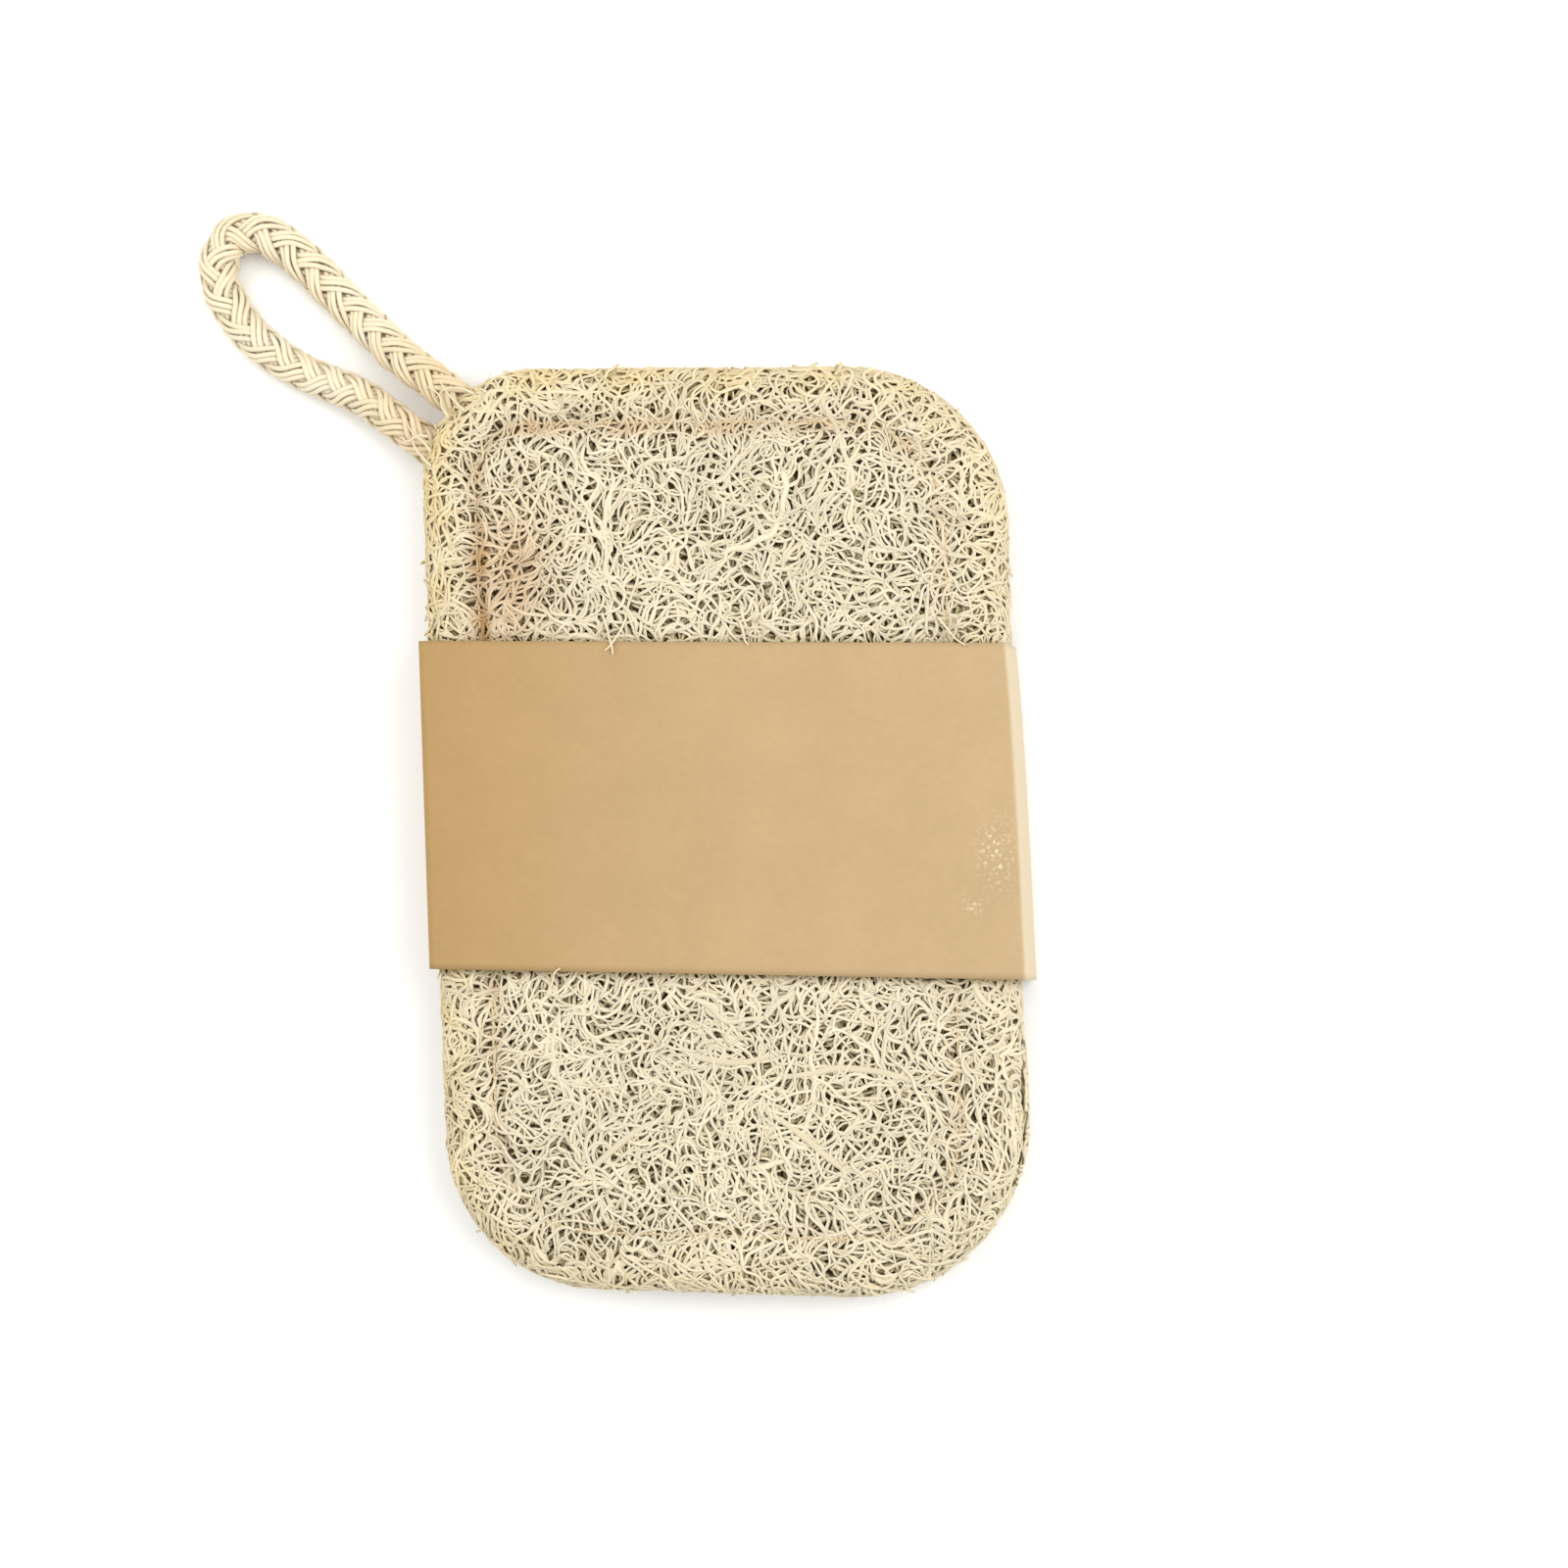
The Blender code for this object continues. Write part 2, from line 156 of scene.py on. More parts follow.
def tubeMesh(points, normals, widths, heights, lengths, sides):
    # Tubes along every route at once, laid flat in the surface; lengths are the routes' point counts.
    lasts = np.cumsum(lengths) - 1
    firsts = lasts + 1 - lengths
    ahead = np.roll(points, -1, axis=0)
    behind = np.roll(points, 1, axis=0)
    ahead[lasts] = points[lasts]
    behind[firsts] = points[firsts]
    along = ahead - behind
    along /= np.linalg.norm(along, axis=1, keepdims=True) + 1e-12
    across = np.cross(along, normals)
    across /= np.linalg.norm(across, axis=1, keepdims=True) + 1e-12
    lift = np.cross(across, along)
    turn = 2 * math.pi * (np.arange(sides) + 0.5) / sides
    ring = (
        points[:, None]
        + across[:, None] * (np.cos(turn)[None, :, None] * widths[:, None, None] / 2)
        + lift[:, None] * (np.sin(turn)[None, :, None] * heights[:, None, None] / 2)
    )
    rows = np.delete(np.arange(len(points)), lasts)[:, None] * sides
    here = np.arange(sides)[None]
    there = (here + 1) % sides
    walls = np.stack([rows + here, rows + there, rows + sides + there, rows + sides + here], axis=2)
    starts = firsts[:, None] * sides + here[:, ::-1]
    ends = lasts[:, None] * sides + here
    faces = walls.reshape(-1, 4).tolist() + starts.tolist() + ends.tolist()
    return ring.reshape(-1, 3), faces


# The cord's route, repeated from the part's source: x, y in mm and lift from table to seam.
cordLoop = {
    "route": (
        (-26.6, 45.4, 1.0), (-30.6, 48.6, 1.0), (-34.3, 51.5, 1.0), (-37.9, 54.2, 0.9),
        (-42.3, 57.5, 0.55), (-46.2, 61.0, 0.15), (-50.0, 64.5, 0.0), (-53.8, 68.2, 0.0),
        (-57.2, 71.0, 0.0), (-60.6, 72.7, 0.0), (-63.8, 72.2, 0.0), (-65.5, 69.6, 0.0),
        (-65.2, 66.0, 0.0), (-62.8, 61.9, 0.0), (-59.6, 58.6, 0.0), (-56.0, 56.2, 0.0),
        (-52.2, 54.4, 0.05), (-48.2, 52.8, 0.3), (-44.8, 51.0, 0.6), (-41.6, 48.7, 0.9),
        (-38.2, 46.3, 1.0), (-33.6, 42.6, 1.0), (-28.6, 38.4, 1.0),
    ),
    "lying": 2.5,  # height of the middle line where the cord lies on the table
    "seam": 6.3,  # and where it is sewn in between the layers
    "diameter": 4.8,
    "strandsEachWay": 4,
    "yarnsInStrand": 3,
    "braidLength": 16.5,  # one turn of a strand round the cord
    "weave": 0.32,  # how far a strand rises over the strands that it crosses
    "fuller": 0.1,  # loose spinning makes the braid this much fuller
    "yarn": 0.74,
    "yarnHeight": 0.9,  # height of a yarn as a share of its width
    "yarnSides": 6,
    "spread": 0.65,  # distance between neighbouring yarns of a strand
    "slant": 1.25,  # a slanting strand is this much wider round the cord
    "sink": 0.12,  # how much lower the outer yarns of a strand lie
    "drift": 0.12,  # slow turning of all strands round the cord, in radians
    "looseness": 0.035,  # slow rise of each strand, as a share of the radius
    "wobble": 0.10,  # slow sideways drift of each yarn
    "shades": (0.12, 0.04, 0.05),  # painted shade under a crossing and at a strand's sides, and tone that differs by chance
    "yarnSideShade": (0.10, 0.0, 0.10, 0.8, 0.95, 0.8),  # painted shade on a yarn's flanks, deepest on its underside: the dark lines between yarns
    "coreInset": 0.35,
    "coreSides": 12,
    # the core inside the braid is painted half in the shade of the dark lines
    "coreShade": 0.5,
    "fullness": ((0, 1.0), (0.22, 1.05), (0.45, 1.12), (0.65, 1.0), (0.85, 0.95), (1, 0.96)),
    "brownReach": 24.0,  # length at each end that has picked up the pad's brown
    "brownFade": 9.0,
    "step": 0.58,
    "seed": 5,
}


def smoothRoute(points, steps):
    # Catmull-Rom curve through the points.
    points = np.asarray(points, dtype=float)
    ends = np.vstack([2 * points[0] - points[1], points, 2 * points[-1] - points[-2]])
    route = []
    for a, b, c, d in zip(ends, ends[1:], ends[2:], ends[3:]):
        for k in range(steps):
            t = k / steps
            route.append(0.5 * (2 * b + (c - a) * t + (2 * a - 5 * b + 4 * c - d) * t * t
                                + (3 * b - a - 3 * c + d) * t ** 3))
    route.append(points[-1])
    return np.array(route)


def evenRoute(points, step):
    # The same line with points a step apart, and the length run at each.
    run = np.concatenate([[0], np.cumsum(np.linalg.norm(np.diff(points, axis=0), axis=1))])
    count = int(round(run[-1] / step)) + 1
    places = np.linspace(0, run[-1], count)
    return np.stack([np.interp(places, run, points[:, i]) for i in range(3)], axis=1), places


def cordLine(spec):
    lift = spec["seam"] - spec["lying"]
    return smoothRoute([(x, y, spec["lying"] + lift * up) for x, y, up in spec["route"]], 12)


def cottonYarn():
    # Unbleached cotton, spun and braided: soft matt cream, fuzzy, with painted shade in the dark lines
    # between and under the yarns.
    material, shader = startMaterial("braidedCottonYarn", 0.9, 1.5)
    place = addNode(material, "TexCoord").outputs["Object"]
    twist = addNode(material, "TexNoise", {"Vector": place, "Scale": perMetre(0.5), "Detail": 3.0})
    blotch = addNode(material, "TexNoise", {"Vector": place, "Scale": perMetre(6), "Detail": 2.0})
    shade, soil, _, _ = toneParts(material)
    colour = setStops(addNode(material, "ValToRGB", {"Fac": blotch.outputs["Fac"]}),
                      ((0.3, "#E9DAB7"), (0.55, "#EBDEC0"), (0.8, "#EDE3CB")))
    # Painted shade in the dark lines between and under yarns, then the brown the cord picked up near its
    # ends.
    for part, other, blend in ((shade, "#5E4824", "MIX"), (soil, "#F7EFE4", "MULTIPLY")):
        toned = addNode(material, "Mix", {"Factor": part, "A": colour, "B": toLinear(other)},
                        data_type="RGBA", blend_type=blend)
        colour = toned.outputs["Result"]
    finishMaterial(material, shader, colour, twist.outputs["Fac"], 0.6, 0.15)
    shader.inputs["Sheen Weight"].default_value = 0.1
    shader.inputs["Sheen Roughness"].default_value = 0.5
    return material


def routeFrames(line):
    # Directions sideways and up at each point, turned as little as possible.
    along = np.gradient(line, axis=0)
    along /= np.linalg.norm(along, axis=1, keepdims=True)
    sideways = np.zeros_like(line)
    current = np.cross(along[0], (0, 0, 1.0))
    for i, direction in enumerate(along):
        current = current - direction * current.dot(direction)
        current /= np.linalg.norm(current)
        sideways[i] = current
    return sideways, np.cross(sideways, along)


def waveLike(chance, run):
    # Slow random drift along a length, about one unit high.
    lengths = np.array((4.0, 7.0, 12.0, 21.0))
    phases = chance.uniform(0, 2 * math.pi, 4)
    return np.sin(run[:, None] * 2 * math.pi / lengths + phases).sum(axis=1) / 2.8


def braidedCord(spec):
    line, run = evenRoute(cordLine(spec), spec["step"])
    sideways, upwards = routeFrames(line)
    each, yarns = spec["strandsEachWay"], spec["yarnsInStrand"]
    radius = spec["diameter"] / 2 - spec["weave"] - spec["yarn"] / 2 + spec["fuller"]
    crossing = 2 * each * run / spec["braidLength"] - 0.5
    points, normals, tones = [], [], []
    chance = np.random.default_rng(spec["seed"])
    fullness = np.interp(run / run[-1], *np.array(spec["fullness"]).T)
    toEnd = np.minimum(run, run[-1] - run)
    brown = np.clip((spec["brownReach"] - toEnd) / spec["brownFade"], 0, 1)
    drift = spec["drift"] * waveLike(chance, run)
    crossed, atSides, byChance = spec["shades"]
    for way in (1, -1):
        for strand in range(each):
            wave = np.cos(2 * math.pi * (way * crossing + 2 * strand - 0.5) / 4) * way
            middle = way * 2 * math.pi * run / spec["braidLength"] + strand * 2 * math.pi / each
            middle = middle + (0 if way == 1 else math.pi / each) + drift
            loose = 1 + spec["looseness"] * waveLike(chance, run)
            for yarn in range(yarns):
                offset = (yarn - (yarns - 1) / 2) * spec["spread"]
                wobble = spec["wobble"] * waveLike(chance, run)
                angle = middle + (offset + wobble) / radius * spec["slant"]
                edge = abs(offset) / (spec["spread"] * yarns / 2)
                away = (radius * loose + spec["weave"] * wave - spec["sink"] * edge ** 2) * fullness
                outward = sideways * np.cos(angle)[:, None] + upwards * np.sin(angle)[:, None]
                points.append(line + outward * away[:, None])
                normals.append(outward)
                # Painted shade under a crossing and at the strand's sides, with tone that differs by
                # chance.
                low = np.clip(0.5 - 0.5 * wave, 0, 1) ** 3
                shade = crossed * low + atSides * edge + chance.uniform(0, byChance)
                ring = np.clip(shade[:, None] + np.array(spec["yarnSideShade"]), 0, 1)
                green = np.repeat(brown[:, None], spec["yarnSides"], axis=1)
                tones.append(np.stack([ring, green, ring, np.ones_like(ring)], axis=2).reshape(-1, 4))
    lengths = [len(line)] * len(points)
    widths = np.full(sum(lengths), spec["yarn"])
    verts, faces = tubeMesh(np.vstack(points), np.vstack(normals), widths, widths * spec["yarnHeight"],
                            lengths, spec["yarnSides"])
    # The core of loose cotton that the strands are braided round.
    wide = 2 * (radius - spec["coreInset"]) * fullness
    inner, innerFaces = tubeMesh(line, upwards, wide, wide, lengths[:1], spec["coreSides"])
    faces += [[i + len(verts) for i in face] for face in innerFaces]
    # Painted shade: the core inside the braid takes half the dark-line colour.
    green = np.repeat(brown, spec["coreSides"])
    tones.append(np.stack([0 * green + spec["coreShade"], green, 0 * green, 0 * green + 1], axis=1))
    verts = np.vstack([verts, inner])
    cord = makeObject("braidedCord", verts * mm, faces, cottonYarn(), np.vstack(tones))
    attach(cord, "root")
    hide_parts("hanging_loop")


braidedCord(cordLoop)
print("cotton loop braided")


# The pad's outline and edge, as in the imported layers.
pad = {
    "halfLength": 54.9,
    "leftAtMiddle": -35.4,
    "rightAtMiddle": 34.6,
    "leftLean": 0.058,
    "rightLean": 0.042,
    "radii": (20.0, 19.5, 13.5, 19.0),  # bottom right, top right, top left, bottom left
    "slip": (0.6, -33.0, 10.0),  # how far, where and how long the back layer shows past the front
    "slipGrows": 30,  # it grows from the middle line to this x
    "seam": 6.3,  # level between the two layers
    "half": 4.85,  # from the seam level to a face's web
    "edge": ((4.8, 4.85), (3.6, 4.78), (2.5, 4.5), (1.6, 4.05), (0.9, 3.4), (0.4, 2.6), (0.1, 1.8),
             (0.0, 1.0), (0.15, 0.4), (0.4, -0.1)),  # inset and height, from the face down the side
    "grooveInset": 7.0,
    "grooveWidth": 1.15,
    "grooveDepth": 1.15,
    "groovePull": (0.38, 0.62, 150),  # least share of the depth, what is added, and at which bearing
    "hills": 0.16,
    "pinch": (0.4, 0.9, 0.1),  # dip along the band's edges: depth, width and distance from the edge
    "bandTop": 21.7,
    "bandBottom": -17.3,
}


def outlinePoints(spec, arcSteps=90, sideSteps=60):
    corners = []
    for side, end in (("right", -1), ("right", 1), ("left", 1), ("left", -1)):
        y = end * spec["halfLength"]
        corners.append(np.array((spec[side + "AtMiddle"] - spec[side + "Lean"] * y, y)))
    points, outward = [], []
    for i, (here, radius) in enumerate(zip(corners, spec["radii"])):
        before = corners[i - 1] - here
        after = corners[(i + 1) % 4] - here
        before /= np.linalg.norm(before)
        after /= np.linalg.norm(after)
        halfAngle = math.acos(np.clip(before.dot(after), -1, 1)) / 2
        bisector = (before + after) / np.linalg.norm(before + after)
        middle = here + bisector * radius / math.sin(halfAngle)
        first = here + before * radius / math.tan(halfAngle) - middle
        start = math.atan2(first[1], first[0])
        angles = start + (math.pi - 2 * halfAngle) * np.linspace(0, 1, arcSteps + 1)
        arc = heading(angles)
        if points:
            addSide(points, outward, middle + arc[0] * radius, arc[0], sideSteps)
        points += list(middle + arc * radius)
        outward += list(arc)
    addSide(points, outward, points[0], outward[0], sideSteps)
    return np.array(points), np.array(outward)


def addSide(points, outward, end, endOutward, steps):
    start = points[-1]
    for k in range(1, steps):
        points.append(start + (end - start) * k / steps)
        outward.append(endOutward)


border, borderOutward = outlinePoints(pad)
edgeProfile = np.array(pad["edge"])
edgeRuns = np.concatenate([[0], np.cumsum(np.linalg.norm(np.diff(edgeProfile, axis=0), axis=1))])
edgeSlopes = np.gradient(edgeProfile, edgeRuns, axis=0)


def borderOf(places):
    # Nearest border point, its outward direction, and how far inside it each place lies.
    feet = np.empty_like(places)
    outward = np.empty_like(places)
    batch = 4000  # places at once, to spare memory
    for a in range(0, len(places), batch):
        some = places[a:a + batch]
        nearest = ((some[:, None] - border[None]) ** 2).sum(axis=2).argmin(axis=1)
        out = borderOutward[nearest]
        slide = np.stack([-out[:, 1], out[:, 0]], axis=1)
        shift = ((some - border[nearest]) * slide).sum(axis=1, keepdims=True)
        feet[a:a + batch] = border[nearest] + slide * shift
        outward[a:a + batch] = out
    return feet, outward, ((feet - places) * outward).sum(axis=1)


def onPad(places, depth, face):
    # Wraps flat places over a face of the pad and its edge, the given depth under the surface.
    feet, outward, inset = borderOf(places)
    run = pad["edge"][0][0] - inset
    onEdge = run > 0
    edgeInset, edgeHeight = (np.interp(run, edgeRuns, column) for column in edgeProfile.T)
    slopeIn, slopeDown = (np.interp(run, edgeRuns, column) for column in edgeSlopes.T)
    lean = np.hypot(slopeIn, slopeDown)
    outPart = np.where(onEdge, -slopeDown / lean, 0.0)
    upPart = np.where(onEdge, -slopeIn / lean, 1.0)
    flat = np.where(onEdge[:, None], feet - outward * edgeInset[:, None], places)
    height = np.where(onEdge, edgeHeight, pad["half"])
    height = height - grooveAt(places, inset) + swellAt(places, inset)
    points = np.column_stack([flat, pad["seam"] + face * height])
    if face < 0:
        far, middle, length = pad["slip"]
        grown = np.clip(flat[:, 0] / pad["slipGrows"], 0, 1)
        points[:, 0] += far * np.exp(-((flat[:, 1] - middle) / length) ** 2) * grown
    normals = np.column_stack([outward * outPart[:, None], face * upPart])
    return points - normals * np.asarray(depth)[:, None], normals, inset, run


def grooveAt(places, inset):
    # The seam pulls deepest at the top left and is faint at the right and the bottom.
    around = np.arctan2(places[:, 1], places[:, 0])
    least, more, bearing = pad["groovePull"]
    pull = pad["grooveDepth"] * (least + more * np.clip(np.cos(around - math.radians(bearing)), 0, 1))
    return pull * np.exp(-((inset - pad["grooveInset"]) / pad["grooveWidth"]) ** 2)


def swellAt(places, inset):
    # Low uneven hills of the pressed web, smaller at the edge, and a dip along the band's edges.
    x, y = places[:, 0], places[:, 1]
    hills = np.sin(x * 0.31 + 1.2 + 0.8 * np.sin(y * 0.17))
    hills = hills * np.sin(y * 0.27 - 0.4 + 0.7 * np.sin(x * 0.21))
    deep, wide, past = pad["pinch"]
    edges = (pad["bandTop"] + past, pad["bandBottom"] - past)
    pinch = sum(np.exp(-((y - edge) / wide) ** 2) for edge in edges)
    return (pad["hills"] * hills - deep * pinch) * np.clip((inset - 1) / 6, 0, 1)


# The web of fibres: sets from the deepest to the topmost, spacings, widths and depths in mm.
topSet = {"flat": 0.6, "sway": 0.06, "sides": 4, "step": 0.6}
webSets = {
    "deep": {"spacing": 1.15, "width": (0.55, 0.85), "flat": 0.8, "depth": (1.10, 1.65), "sway": 0.12,
             "sides": 3, "step": 1.0, "turn": 1.3, "reach": (6, 16)},
    "lower": {"spacing": 1.0, "width": (0.42, 0.62), "flat": 0.8, "depth": (0.70, 1.05), "sway": 0.12,
              "sides": 3, "step": 0.85, "turn": -0.8, "reach": (5, 16)},
    "middle": {"spacing": 0.96, "width": (0.42, 0.60), "flat": 0.7, "depth": (0.40, 0.72), "sway": 0.12,
               "sides": 3, "step": 0.75, "turn": 0.5, "reach": (4, 14)},
    "upper": {"spacing": 1.24, "width": (0.40, 0.59), "depth": (0.14, 0.34), "turn": 0.0,
              "reach": (6, 18), **topSet},
    "crossing": {"spacing": 1.28, "width": (0.38, 0.57), "depth": (0.10, 0.30), "turn": 1.1,
                 "reach": (5, 15), **topSet},
    "slanted": {"spacing": 1.36, "width": (0.36, 0.54), "depth": (0.08, 0.28), "turn": 2.2,
                "reach": (4, 14), **topSet},
    "strand": {"spacing": 14.0, "width": (0.50, 0.80), "flat": 0.4, "depth": (0.14, 0.24), "sway": 0.04,
               "sides": 6, "step": 0.7, "turn": 0.5, "reach": (8, 20), "calm": 0.10},
    "knot": {"width": (0.34, 0.48), "flat": 0.7, "depth": (0.08, 0.22), "sway": 0.04, "sides": 4,
             "step": 0.6, "stars": 44, "rings": 130, "points": 10, "spokes": (5, 9),
             "spokePoints": (4, 9), "ringRadius": (0.45, 1.0), "ringTurn": (4.6, 6.6)},
}
webShape = {
    "swirl": {"waves": 16, "lengths": (9, 45), "bend": 0.20},  # shared by all sets of a face
    "ruffle": {"waves": 14, "lengths": (3.0, 11.0), "bend": 0.76},  # each set's own
    "wobble": (0.05, 0.33),  # side to side turning of each fibre, in radians
    "wobbleLength": (3, 7),
    "room": 0.85,  # a fibre starts this share of the spacing away from others
    "meet": 0.46,  # and ends at this share from the middle of another
    "taper": 1.2,  # length over which a fibre's ends thin out and dip
    "dip": 0.05,
    "endWidth": (0.78, 0.22),  # share of its width that a fibre keeps at its ends, and the rest
    "unevenWidth": 0.14,
    "unevenLength": 1.7,
    "fray": 0.03,  # share of fibres near the edge whose ends stand off
    "frayInset": 3,
    "frayDepth": 0.45,  # only fibres of the top sets fray
    "frayLift": (0.3, 0.9),
    "hidden": 2.0,  # how far the web goes on under the paper band
    "cell": 0.25,  # cells in which the room between fibres is kept
    "jitter": 0.1,
    "rounds": 14,
    "backOpener": 1.3,  # the back's web is this much more open
}


def waveField(chance, spec):
    # Smooth random turning over the pad, in radians, from waves of many lengths.
    lengths = np.geomspace(spec["lengths"][0], spec["lengths"][1], spec["waves"])
    bearings = chance.uniform(0, 2 * math.pi, spec["waves"])
    waves = heading(bearings) * (2 * math.pi / lengths)[:, None]
    phases = chance.uniform(0, 2 * math.pi, spec["waves"])
    sizes = spec["bend"] * lengths / (2 * math.pi) * math.sqrt(2 / spec["waves"])

    def turnAt(places):
        return np.sin(places @ waves.T + phases) @ sizes
    return turnAt


def pastBand(y):
    return (y > pad["bandTop"] - webShape["hidden"]) | (y < pad["bandBottom"] + webShape["hidden"])


def bareCells():
    # Cells over the bare ends of the pad and down its sides.
    cell = webShape["cell"]
    xs, ys = np.arange(-44, 44, cell), np.arange(-62, 62, cell)
    centres = np.stack(np.meshgrid(xs, ys, indexing="ij"), axis=2) + cell / 2
    _, _, inset = borderOf(centres.reshape(-1, 2))
    bare = (pad["edge"][0][0] - inset < edgeRuns[-1]).reshape(centres.shape[:2])
    return centres, bare & pastBand(centres[:, :, 1])


cellCentres, cellsBare = bareCells()


def cellsAt(places):
    spots = np.floor((places - cellCentres[0, 0]) / webShape["cell"] + 0.5).astype(int)
    return np.clip(spots, 0, np.array(cellsBare.shape) - 1)


def discCells(radius):
    reach = int(radius / webShape["cell"]) + 1
    grid = np.arange(-reach, reach + 1)
    cells = np.stack(np.meshgrid(grid, grid, indexing="ij"), axis=2).reshape(-1, 2)
    return cells[np.hypot(cells[:, 0], cells[:, 1]) * webShape["cell"] <= radius]


def markCells(grid, spots, disc, values):
    cells = np.clip(spots[:, None] + disc[None], 0, np.array(grid.shape[:2]) - 1)
    grid[cells[..., 0], cells[..., 1]] = np.asarray(values)[:, None]


def growNet(chance, turnAt, spec):
    # Fibres start in the gaps, run both ways with the field and end where they meet another.
    taken = ~cellsBare
    owner = np.full(cellsBare.shape, -1)
    anchors = np.zeros(cellsBare.shape + (2,))
    wide = discCells(spec["spacing"] * webShape["room"])
    narrow = discCells(spec["spacing"] * webShape["meet"])
    step, half = spec["step"], int(spec["reach"][1] / 2 / spec["step"]) + 1
    tracks, keeps, total = [], [], 0

    def claim(spots, fibres):
        markCells(owner, cellsAt(spots), narrow, fibres)
        markCells(anchors, cellsAt(spots), narrow, spots)

    for _ in range(webShape["rounds"]):
        free = np.argwhere(~taken)
        if len(free) == 0:
            break
        free = free[chance.permutation(len(free))]
        block = max(int(2 * spec["spacing"] / webShape["cell"]), 2)
        _, single = np.unique(free // block, axis=0, return_index=True)
        chosen = free[single]
        count = len(chosen)
        jitter = chance.uniform(-webShape["jitter"], webShape["jitter"], (count, 2))
        starts = cellCentres[chosen[:, 0], chosen[:, 1]] + jitter
        who = np.tile(total + np.arange(count), 2)
        way = np.repeat((1.0, -1.0), count)
        wobble = np.tile(chance.uniform(*webShape["wobble"], count), 2)
        waveLength = np.tile(chance.uniform(*webShape["wobbleLength"], count), 2)
        phase = np.tile(chance.uniform(0, 2 * math.pi, count), 2)
        reach = chance.uniform(spec["reach"][0] / 2, spec["reach"][1] / 2, 2 * count)
        place = np.tile(starts, (2, 1))
        claim(starts, who[:count])
        alive = np.ones(2 * count, dtype=bool)
        grown = np.zeros(2 * count, dtype=int)
        track = [place]
        for k in range(1, half + 1):
            bend = wobble * np.sin(2 * math.pi * way * k * step / waveLength + phase)
            move = heading(turnAt(place) + bend) * (way * step)[:, None]
            between, place = place + move / 2, place + move
            grown[alive] = k
            cells = tuple(cellsAt(place).T)
            meets = (owner[cells] >= 0) & (owner[cells] != who)
            joined = np.where(meets[:, None], anchors[cells], place)
            alive &= ~meets & (k * step < reach)
            claim(between[alive], who[alive])
            claim(place[alive], who[alive])
            track.append(joined)
        track = np.stack(track, axis=1)
        track = np.concatenate([track[count:, :0:-1], track[:count]], axis=1)
        index = np.arange(-half, half + 1)[None]
        keep = (index >= -grown[count:, None]) & (index <= grown[:count, None])
        markCells(taken, cellsAt(track[keep]), wide, keep[keep])
        tracks.append(track)
        keeps.append(keep)
        total += count
    return np.concatenate(tracks), np.concatenate(keeps)


def growKnots(chance, spec):
    # Star-like knots that fibres run out from, and fibres curled into rings.
    spots = np.argwhere(cellsBare)
    spots = spots[chance.choice(len(spots), spec["stars"] + spec["rings"], replace=False)]
    centres = cellCentres[spots[:, 0], spots[:, 1]]
    index = np.arange(spec["points"])
    tracks, keeps = [], []
    for star in centres[:spec["stars"]]:
        spokes = chance.integers(*spec["spokes"])
        start = chance.uniform(0, 2 * math.pi)
        for spoke in range(spokes):
            angle = start + 2 * math.pi * spoke / spokes + chance.uniform(-0.3, 0.3)
            angle = angle + chance.normal(0, 0.06) * index
            moves = heading(angle) * spec["step"]
            tracks.append(star + np.cumsum(moves, axis=0) - moves[0] * 0.8)
            keeps.append(index < chance.integers(*spec["spokePoints"]))
    for ring in centres[spec["stars"]:]:
        radius = chance.uniform(*spec["ringRadius"])
        angle = chance.uniform(0, 2 * math.pi) + index / index[-1] * chance.uniform(*spec["ringTurn"])
        out = radius * (1 + 0.15 * np.sin(2 * angle + chance.uniform(0, 6)))
        tracks.append(ring + heading(angle) * out[:, None])
        keeps.append(index >= 0)
    return np.stack(tracks), np.stack(keeps)


# Painted shade and tints of the web.
webTinting = {
    "seamInset": 7.4,
    "seamWidth": 1.15,
    "seamBearing": 140,  # where the painted shade along the seam is strongest, seen from the pad's middle
    "patch": (-25.5, 29, 4.5, 9),  # brown patch at the left above the band: x, y and its size
    "patchDepth": 0.6,
    "edgeInset": 6.5,  # the straw yellow starts here and is full at the rim
    "edgeWidth": 5,
    # the rim's own straw tone, painted stronger towards this bearing, the top left, away from the light
    "edgeBearing": 150,
    "fullShade": 1.8,  # depth in the web where a fibre is at its darkest
    "bandShade": 0.5,  # shade along the band's edges
    "bandShadeWidth": 0.45,
}


